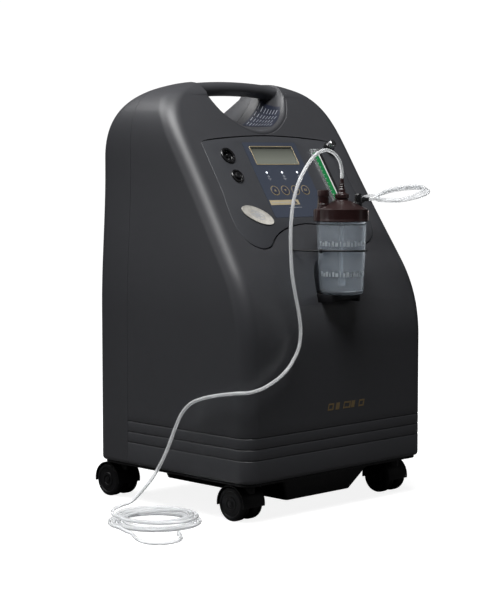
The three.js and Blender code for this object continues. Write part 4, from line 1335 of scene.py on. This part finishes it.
def buildJar():
    base, top, neck = bottle["base"], bottle["lidBase"], bottle["neck"]
    profile = [(0, base + 1.6), (20, base + 1.4), (30, base + 0.6), (34, base), (36, base + 0.3),
               (37.4, base + 1.4), (38.2, base + 3.2), (38.5, base + 6), (39.4, base + 26),
               (39.7, base + 27), (41.2, base + 62), (43.6, top - 6), (43.8, top - 2.5),
               (43.8, top - 1.2), (43.3, top - 0.6), (neck, top - 0.6),
               (neck, 521.6), (neck - 0.4, 522), (neck - 1.6, 522), (neck - 2, 521.6), (neck - 2, top - 3.4),
               (41.4, top - 6), (39.2, base + 62), (36.8, base + 9), (35.6, base + 6), (33, base + 4.6),
               (0, base + 5.2)]
    jar = turnedPiece("humidifierJar", profile, 72, (0, bottle["y"], 0))
    seat(jar, "bottle_jar", "frosted", ["humidifier_jar"], 40)

    # two bands of raised graduations on the side that faces out
    marks = []
    for radius, height in ((0.0430, 0.4675), (0.0404, 0.4145)):
        for i in range(14):
            width = 0.0010 + 0.0007 * (i % 3)
            mark = boxPiece("graduation", (-width, -0.0005, 0), (width, 0.0002, 0.0085 - 0.0020 * (i % 2)))
            marks.append(moved(mark, onJar(radius, -194 + i * 9, height)))
    seat(joined("jarMarks", marks), "bottle_jar", "jarMark")
    dot = rodPiece("redDot", 0.0028, -0.0004, 0.0004, (0, 0), 20)
    seat(moved(dot, onJar(0.0434, -12, 0.4985) @ upright), "bottle_jar", "red")


# moves the vertices whose radius and height lie in the given ranges, by a factor of their angle
def reshaped(piece, radii, heights, factorAt):
    for vertex in piece.data.vertices:
        x, y = vertex.co.x, vertex.co.y - bottle["y"]
        radius = math.hypot(x, y)
        if radii[0] < radius < radii[1] and heights[0] <= vertex.co.z <= heights[1]:
            factor = factorAt(math.atan2(y, x), radius)
            vertex.co.x, vertex.co.y = x * factor, bottle["y"] + y * factor


# every second vertex of the skirt is sunk between two ribs
def skirtFactor(angle, radius):
    sunk = round(angle / math.tau * bottle["ribs"] * 2) % 2
    return 1 - bottle["ribDepth"] / radius if sunk else 1


# eight flats on the gripping boss under the nozzle
def bossFactor(angle, radius):
    wedge = (angle + math.pi / 8) % (math.pi / 4) - math.pi / 8
    return math.cos(math.pi / 8) / math.cos(wedge) * 1.05


def buildLid():
    base, top, radius, neck = bottle["lidBase"], bottle["lidTop"], bottle["lidRadius"], bottle["neck"]
    place = (0, bottle["y"], 0)
    profile = [(neck + 0.6, base), (radius - 0.8, base), (radius, base + 0.8), (radius, base + 3.4),
               (radius - 0.4, base + 4), (radius, base + 4.8), (radius, top - 2.6), (radius - 0.7, top - 1),
               (radius - 2, top), (38, 534.6), (29, 538.4), (20, 542.8), (15.4, 545.2), (13, 545.8),
               (12.5, 546.6), (12.5, 547.6), (11, 548.2), (11, 549.4), (12.5, 550), (12.5, 556.2),
               (11.6, 557), (8.4, 558.2), (7, 559.4), (6.4, 561), (6.4, 564.4), (5.8, 565.6), (4.6, 567),
               (5, 569.4), (4.1, 571), (4.8, 573), (3.8, 575), (4.4, 577), (3.4, 579.4), (3.6, 581),
               (2.8, 583.6), (2.2, 584), (1.4, 584), (1.4, 534), (14, 531), (38, 523.6),
               (neck + 0.6, 523.6), (neck + 0.6, base)]
    lid = turnedPiece("lidCone", profile, bottle["ribs"] * 2, place)
    skirt = radius / 1000
    reshaped(lid, (skirt - 0.0008, skirt + 0.0008), (0.5138, 0.5302), skirtFactor)
    reshaped(lid, (0.0120, 0.0130), (0.5498, 0.5564), bossFactor)
    profile = [(0, 524), (11, 524), (11, 534), (10.4, 536), (10, 537), (10, 540), (9.5, 540.6), (9.5, 553),
               (10, 553.6), (10, 562.6), (9.4, 564), (8.4, 564.5), (0, 564.5)]
    post = turnedPiece("turret", profile, 40, turret["post"])
    profile = [(0, base + 0.4), (12.2, base + 0.4), (13, base + 1.2), (13, top - 3.6), (12.4, top - 1.6),
               (11, top - 0.6), (0, top - 0.4)]
    ear = turnedPiece("ear", profile, 40, turret["ear"])
    carve(ear, rodPiece("neckRoom", (neck + 0.6) / 1000, 0.5, 0.5236, (0, bottle["y"]), 72))
    carve(lid, rodPiece("riserHole", 0.0068, 0.5305, 0.560, (elbow["x"], elbow["y"]), 32))
    seat(joined("humidifierLid", [lid, post, ear]), "bottle_lid", "maroon",
         ["humidifier_lid"], 34)


def buildLidFittings():
    place = (0, bottle["y"], 0)

    # riser and level barbed arm
    profile = [(0, 531), (6.4, 531), (6.4, 537), (7, 537.6), (7, 541), (6.4, 541.6), (6.4, 555.6),
               (5.6, 557.2), (4.2, 558), (0, 558)]
    riser = turnedPiece("riser", profile, 36, (elbow["x"], elbow["y"], 0))
    profile = [(0, 25), (5.4, 25), (5.4, 33.4), (6, 34), (6, 37.4), (5.4, 38), (5.4, 40), (4.4, 41),
               (3.3, 41.4), (3.3, 43), (3.7, 44), (3.1, 47), (3.6, 48), (3.0, 51), (3.3, 52), (2.6, 53.6),
               (1.6, 54), (1.6, 43), (0, 43)]
    arm = turnedPiece("arm", profile, 36)
    moved(arm, Matrix.Translation((0, elbow["y"], elbow["z"])) @ Matrix.Rotation(math.pi / 2, 4, "Y"))
    seat(joined("lidArm", [riser, arm]), "bottle_lid", "glossBlack", ["lid_elbow"], 34)

    # a clear collar that shows past the skirt
    collar = turnedPiece("clearCollar", [(46.3, 510.4), (47.3, 510.8), (47.6, 513), (47.6, 527), (47.2, 529),
                                         (46.3, 529.4), (46.3, 510.4)], 96, place)
    carve(collar, boxPiece("collarCut", (-0.1, -0.3, 0.4), (0.027, 0, 0.6)))
    carve(collar, boxPiece("collarCut", (-0.1, -0.172, 0.4), (0.1, 0, 0.6)))
    soften(collar, 0.0004, 2, 40)
    seat(collar, "bottle_lid", "rimClear")

    profile = [(1.4, 396), (6.6, 396), (7, 396.4), (7, 398), (6.4, 398.6), (7, 399.2), (7, 401),
               (6.4, 401.6), (7, 402.2), (7, 406.6), (6.4, 408), (5.4, 410), (3.6, 411.4), (3.2, 413),
               (3.2, 533), (1.4, 533), (1.4, 396)]
    dip = turnedPiece("dipTube", profile, 32, place)
    seat(dip, "bottle_lid", "dipWhite", ["dip_tube"])


shelf = {"low": 0.3684, "high": 0.3826, "halfX": 0.039}
strap = {"z": 0.459, "round": 0.0443, "radius": 0.0016, "bead": (0.0470, -0.181),
         "ends": [(0.062, -0.124), (0.061, -0.140), (0.057, -0.160)]}


def buildShelf():
    low, high = shelf["low"], shelf["high"]
    tray = raisedPiece("bottleShelf", roundRect(shelf["halfX"], 0.036, 0.005, 0, -0.162), low, high)
    carve(tray, rodPiece("nicheLimit", niche["radius"] - 0.0005, 0.3, 0.5, (0, niche["centreY"]), 96),
          "INTERSECT")
    carve(tray, raisedPiece("undercut", roundRect(0.031, 0.008, 0.003, 0, -0.191), low - 0.004,
                            low + 0.0055))
    soften(tray, 0.0012, 2, 40)
    seat(tray, "cabinet", "black", ["bottle_shelf"])


# an elastic cord round the front of the jar, hooked into the cabinet on both sides
def buildStrap():
    z = strap["z"]
    points = [(x, y, z) for x, y in strap["ends"]]
    for i in range(17):
        angle = 0.12 - (i / 16) * (math.pi + 0.24)
        points.append((strap["round"] * math.cos(angle), bottle["y"] + strap["round"] * math.sin(angle),
                       z - 0.0008 * math.sin(i * 0.39)))
    points += [(-x, y, z) for x, y in reversed(strap["ends"])]
    band = sweepPiece("bottleStrap", smoothLine(points, 0.002), strap["radius"])
    beadX, beadY = strap["bead"]
    beads = []
    for x in (-beadX, beadX):
        place = (x, beadY, z)
        bpy.ops.mesh.primitive_uv_sphere_add(segments=24, ring_count=14, radius=0.0034, location=place)
        bead = named("strapBead")
        bpy.ops.transform.resize(value=(0.9, 1, 1.25), center_override=place)
        beads.append(settle(bead))
    seat(joined("bottleStrap", [band] + beads), "cabinet", "black", ["bottle_strap"], 40)


buildJar()
buildLid()
buildLidFittings()
buildShelf()
buildStrap()
print("humidifier built")

# ---- casters ----
caster = {"x": 0.188, "frontY": -0.146, "rearY": 0.179, "trail": 0.020, "wheel": 30.0, "half": 10.5,
          "web": 0.004, "offset": 0.0151, "hood": 0.033, "axleZ": 0.030, "wheelRoom": 0.0312}


def wheelProfile():
    r, h = caster["wheel"], caster["half"]
    outerSide = [(3.6, h - 1.6), (8.6, h - 1.6), (9.2, h - 1.0), (9.2, h - 0.3), (12.6, h - 0.3),
                 (13.4, h - 1.4), (21.6, h - 1.4), (22.6, h - 0.3), (r - 6, h), (r - 3.2, h - 0.7),
                 (r - 1.2, h - 2.2), (r - 0.2, h - 4.6), (r, h - 6), (r, 1.2), (r - 1.1, 0.8)]
    innerSide = [(radius, -height) for radius, height in outerSide]
    return innerSide + outerSide[::-1] + innerSide[:1]


def buildCasterModel():
    trail, axleZ, room = caster["trail"], caster["axleZ"], caster["wheelRoom"]
    reach = caster["web"] + 2 * caster["half"] / 1000 + 0.0012
    across = Matrix.Translation((0, trail, axleZ)) @ Matrix.Rotation(math.pi / 2, 4, "Z") @ upright
    hood = raisedPiece("hood", ringArc(caster["hood"], room, -8, 188, 40), -reach, reach)
    soften(moved(hood, across), 0.0006, 2, 40)
    outline = ringOf(0.0318, 0, 180, 30) + ringOf(0.012, 180, 360, 15)
    web = moved(raisedPiece("web", outline, -caster["web"], caster["web"]), across)
    axle = rodPiece("axle", 0.0032, -reach, reach, (trail, axleZ), 24, "x")
    caps = []
    for side in (-1, 1):
        cap = turnedPiece("axleCap", [(0, 0), (5.2, 0), (5.0, 0.5), (3.2, 1.0), (0, 1.1)], 28)
        caps.append(moved(cap, Matrix.Translation((side * (reach - 0.0008), trail, axleZ))
                          @ Matrix.Rotation(side * math.pi / 2, 4, "Y")))
    profile = [(0, 49), (10, 49), (10, 60), (9, 62.6), (7.4, 64.2), (5, 64.5), (5, 80.6), (4.2, 82), (0, 82)]
    stem = turnedPiece("stem", profile, 40)
    keepOut = rodPiece("wheelRoom", room, -reach - 0.002, reach + 0.002, (trail, axleZ), 72, "x")
    carve(keepOut, boxPiece("webRoom", (-caster["web"], -0.06, -0.01), (caster["web"], 0.08, 0.09)))
    carve(stem, keepOut)
    body = joined("casterBody", [hood, web, axle, stem] + caps)
    wheel = moved(turnedPiece("wheel", wheelProfile(), 64), Matrix.Rotation(math.pi / 2, 4, "Y"))
    return body, wheel


def buildCasters():
    body, wheel = buildCasterModel()
    corners = {"front_left": (-1, caster["frontY"]), "front_right": (1, caster["frontY"]),
               "rear_left": (-1, caster["rearY"]), "rear_right": (1, caster["rearY"])}
    for name, (side, y) in corners.items():
        at = Matrix.Translation((side * caster["x"], y, 0))
        label = "".join(word.capitalize() for word in name.split("_"))
        seat(duplicate(body, "caster" + label, at), f"caster_{name}", "black",
             [f"caster_{name}"])
        for letter, way in (("a", -1), ("b", 1)):
            hub = Matrix.Translation((way * caster["offset"], caster["trail"], caster["axleZ"]))
            turned = duplicate(wheel, "wheel" + label + letter.upper(), at @ hub)
            seat(turned, f"wheel_{name}_{letter}", "tread", [f"wheel_{name}_{letter}"])
    bpy.data.objects.remove(body)
    bpy.data.objects.remove(wheel)


buildCasters()
print("casters built")


# ---- base pan, back and inside ----
pan = {"flange": (0.066, 0.0705), "inset": 0.007, "stemHole": 0.0056, "ribs": 5, "ribStart": -0.110,
       "ribStep": 0.055}


# a level outline of the tub, from its sides and its corner radius
def tubRing(z, left, right, front, rear, radius):
    halfX, halfY = (right - left) / 2, (rear - front) / 2
    return [(x, y, z) for x, y in roundRect(halfX, halfY, radius, (left + right) / 2, (front + rear) / 2, 4)]


def buildPan():
    flange = loftPiece("basePan", [sectionAt(cabinet["bottom"], pan["inset"], z) for z in pan["flange"]])
    tub = loftPiece("tub", [tubRing(0.026, -0.105, 0.057, -0.155, 0.153, 0.004),
                            tubRing(0.0272, -0.1065, 0.0585, -0.1562, 0.1542, 0.006),
                            tubRing(0.067, -0.124, 0.104, -0.164, 0.162, 0.007)])
    carve(flange, tub, "UNION")
    carve(flange, loftPiece("tubRoom", [tubRing(0.030, -0.102, 0.054, -0.152, 0.150, 0.004),
                                        tubRing(0.080, -0.122, 0.102, -0.162, 0.160, 0.006)]))
    for x in (-caster["x"], caster["x"]):
        for y in (caster["frontY"], caster["rearY"]):
            carve(flange, rodPiece("stemHole", pan["stemHole"], 0.05, 0.09, (x, y), 32))
    # stiffening grooves pressed into the underside
    for i in range(pan["ribs"]):
        y = pan["ribStart"] + i * pan["ribStep"]
        carve(flange, raisedPiece("rib", roundRect(0.060, 0.0035, 0.003, -0.024, y), 0.022, 0.0272))
    soften(flange, 0.0009, 2, 40)
    seat(flange, "cabinet", "black", ["base_pan"], 35)


def buildBack():
    leaf = raisedPiece("filterDoor", roundRect(door["halfX"], door["halfZ"], 0.006, 0, door["midZ"]), 0,
                       0.004)
    for i in range(door["slats"]):
        z = door["midZ"] - 0.0465 + i * 0.015
        carve(leaf, raisedPiece("slat", roundRect(0.062, 0.0035, 0.0033, 0, z), -0.002, 0.008))
    soften(leaf, 0.0007, 2, 40)
    seat(stoodUp(leaf, 0.210), "filter_door", "charcoal", ["filter_door"])
    tab = raisedPiece("doorTab", roundRect(0.013, 0.0035, 0.003, 0, door["midZ"] + 0.062), 0, 0.0028)
    soften(tab, 0.0008, 2, 40)
    seat(stoodUp(tab, 0.2125), "filter_door", "charcoal")

    # mains inlet with its three contacts
    outline = roundRect(inlet["halfX"], inlet["halfZ"], 0.003, inlet["x"], inlet["z"])
    flange = stoodUp(raisedPiece("powerInlet", outline, -0.2105, -0.184))
    socket = [(0.106, 0.127), (0.134, 0.127), (0.134, 0.142), (0.129, 0.147), (0.111, 0.147), (0.106, 0.142)]
    socketRoom = raisedPiece("socket", socket, -0.230, -0.192)
    carve(flange, stoodUp(socketRoom))
    soften(flange, 0.0007, 2, 40)
    seat(flange, "cabinet", "glossBlack", ["power_inlet"])
    pins = [boxPiece("contact", (x - 0.001, 0.190, z - 0.0025), (x + 0.001, 0.206, z + 0.0025))
            for x, z in ((0.111, 0.134), (0.129, 0.134), (0.120, 0.141))]
    contacts = soften(joined("inletContacts", pins), 0.0004, 2, 40)
    seat(contacts, "cabinet", "steel")

    # cross-head screws that hold the rear shell
    screws = []
    profile = [(0, -0.6), (3.6, -0.6), (3.6, 0.3), (3.0, 1.1), (1.6, 1.5), (0, 1.6)]
    for x in (-0.195, 0.195):
        for z in (0.095, 0.350, 0.600):
            head = turnedPiece("screw", profile, 24)
            carve(head, boxPiece("cross", (-0.002, -0.0004, 0.0006), (0.002, 0.0004, 0.003)))
            carve(head, boxPiece("cross", (-0.0004, -0.002, 0.0006), (0.0004, 0.002, 0.003)))
            moved(head, Matrix.Rotation(-math.pi / 2, 4, "X"))
            screws.append(moved(head, Matrix.Translation((x, cabinet["rear"], z))))
    seat(joined("rearScrews", screws), "cabinet", "steel")


def paintInside():
    inside = {"foam_filter": "foam", "compressor": "cast", "fan_frame": "black", "fan_rotor": "black",
              "sieve_bed_left": "cast", "sieve_bed_right": "cast", "product_tank": "white",
              "valve_manifold": "cast", "intake_muffler": "black", "control_board": "board"}
    inside.update({f"pump_mount_{i}": "tread" for i in range(1, 5)})
    for name, finishName in inside.items():
        paintPiece(nodes[name], finishName)


buildPan()
buildBack()
paintInside()
print("pan, back and inside done")


# ---- floor and light ----
studio = {"backdrop": 1.05, "fill": 0.03, "floorGlow": 0.88, "floorBounce": 0.09}


# one for rays straight from the view and for those that have only passed through clear plastic
def seenRays(tree):
    path = addNode(tree, "ShaderNodeLightPath")
    both = addNode(tree, "ShaderNodeMath", {0: path.outputs["Is Camera Ray"],
                                            1: path.outputs["Is Transmission Ray"]}, operation="MAXIMUM")
    return both.outputs[0]


# pale to look at, and dim in what it throws back at the cabinet
def stageFinish():
    material, tree, shader = startMaterial("paleFloor", Roughness=0.9)
    shader.inputs["Base Color"].default_value = (0.42, 0.42, 0.42, 1)
    shader.inputs["Emission Color"].default_value = (1, 1, 1, 1)
    away = addNode(tree, "ShaderNodeVectorMath", {0: ownPlace(tree)}, operation="LENGTH")
    glow = ranged(tree, away.outputs["Value"], studio["floorGlow"], studio["backdrop"], 0.4, 2.2)
    plug(tree, shader, Emission_Strength=glow)
    bounce = studio["floorBounce"]
    dim = addNode(tree, "ShaderNodeBsdfDiffuse", {"Color": (bounce, bounce, bounce, 1)})
    mix = addNode(tree, "ShaderNodeMixShader", {0: seenRays(tree), 1: dim.outputs[0], 2: shader.outputs[0]})
    tree.links.new(mix.outputs[0], tree.nodes["Material Output"].inputs["Surface"])
    return material


def areaLight(name, place, target, size, power):
    bpy.ops.object.light_add(type="AREA", location=place)
    light = bpy.context.object
    light.name = name
    light.data.shape = "RECTANGLE"
    light.data.size, light.data.size_y = size
    light.data.energy = power
    light.rotation_euler = (Vector(target) - Vector(place)).to_track_quat("-Z", "Y").to_euler()


def buildStage():
    bpy.ops.mesh.primitive_plane_add(size=40, location=(0, 0, 0))
    floor = bpy.context.object
    floor.name = "floor"
    floor.data.materials.append(stageFinish())
    world = bpy.data.worlds.new("studio")
    bpy.context.scene.world = world
    world.use_nodes = True
    tree = world.node_tree
    tree.nodes.clear()
    dim, white = (addNode(tree, "ShaderNodeBackground", {"Color": (1, 1, 1, 1), "Strength": studio[part]})
                  for part in ("fill", "backdrop"))
    mix = addNode(tree, "ShaderNodeMixShader", {0: seenRays(tree), 1: dim.outputs[0], 2: white.outputs[0]})
    out = addNode(tree, "ShaderNodeOutputWorld")
    tree.links.new(mix.outputs[0], out.inputs["Surface"])
    areaLight("keyLight", (-0.8, -0.8, 3.1), (0, 0, 0.5), (1.6, 1.2), 98)
    areaLight("topLight", (-1.1, 1.0, 2.6), (0, 0, 0.6), (1.4, 1.4), 45)
    areaLight("sideLight", (-2.9, 1.3, 1.6), (0, 0, 0.5), (1.0, 1.6), 6.5)
    areaLight("frontLight", (2.4, -2.4, 1.2), (0, 0, 0.4), (1.0, 1.4), 1.0)


buildStage()
bpy.context.scene.view_settings.view_transform = "Standard"
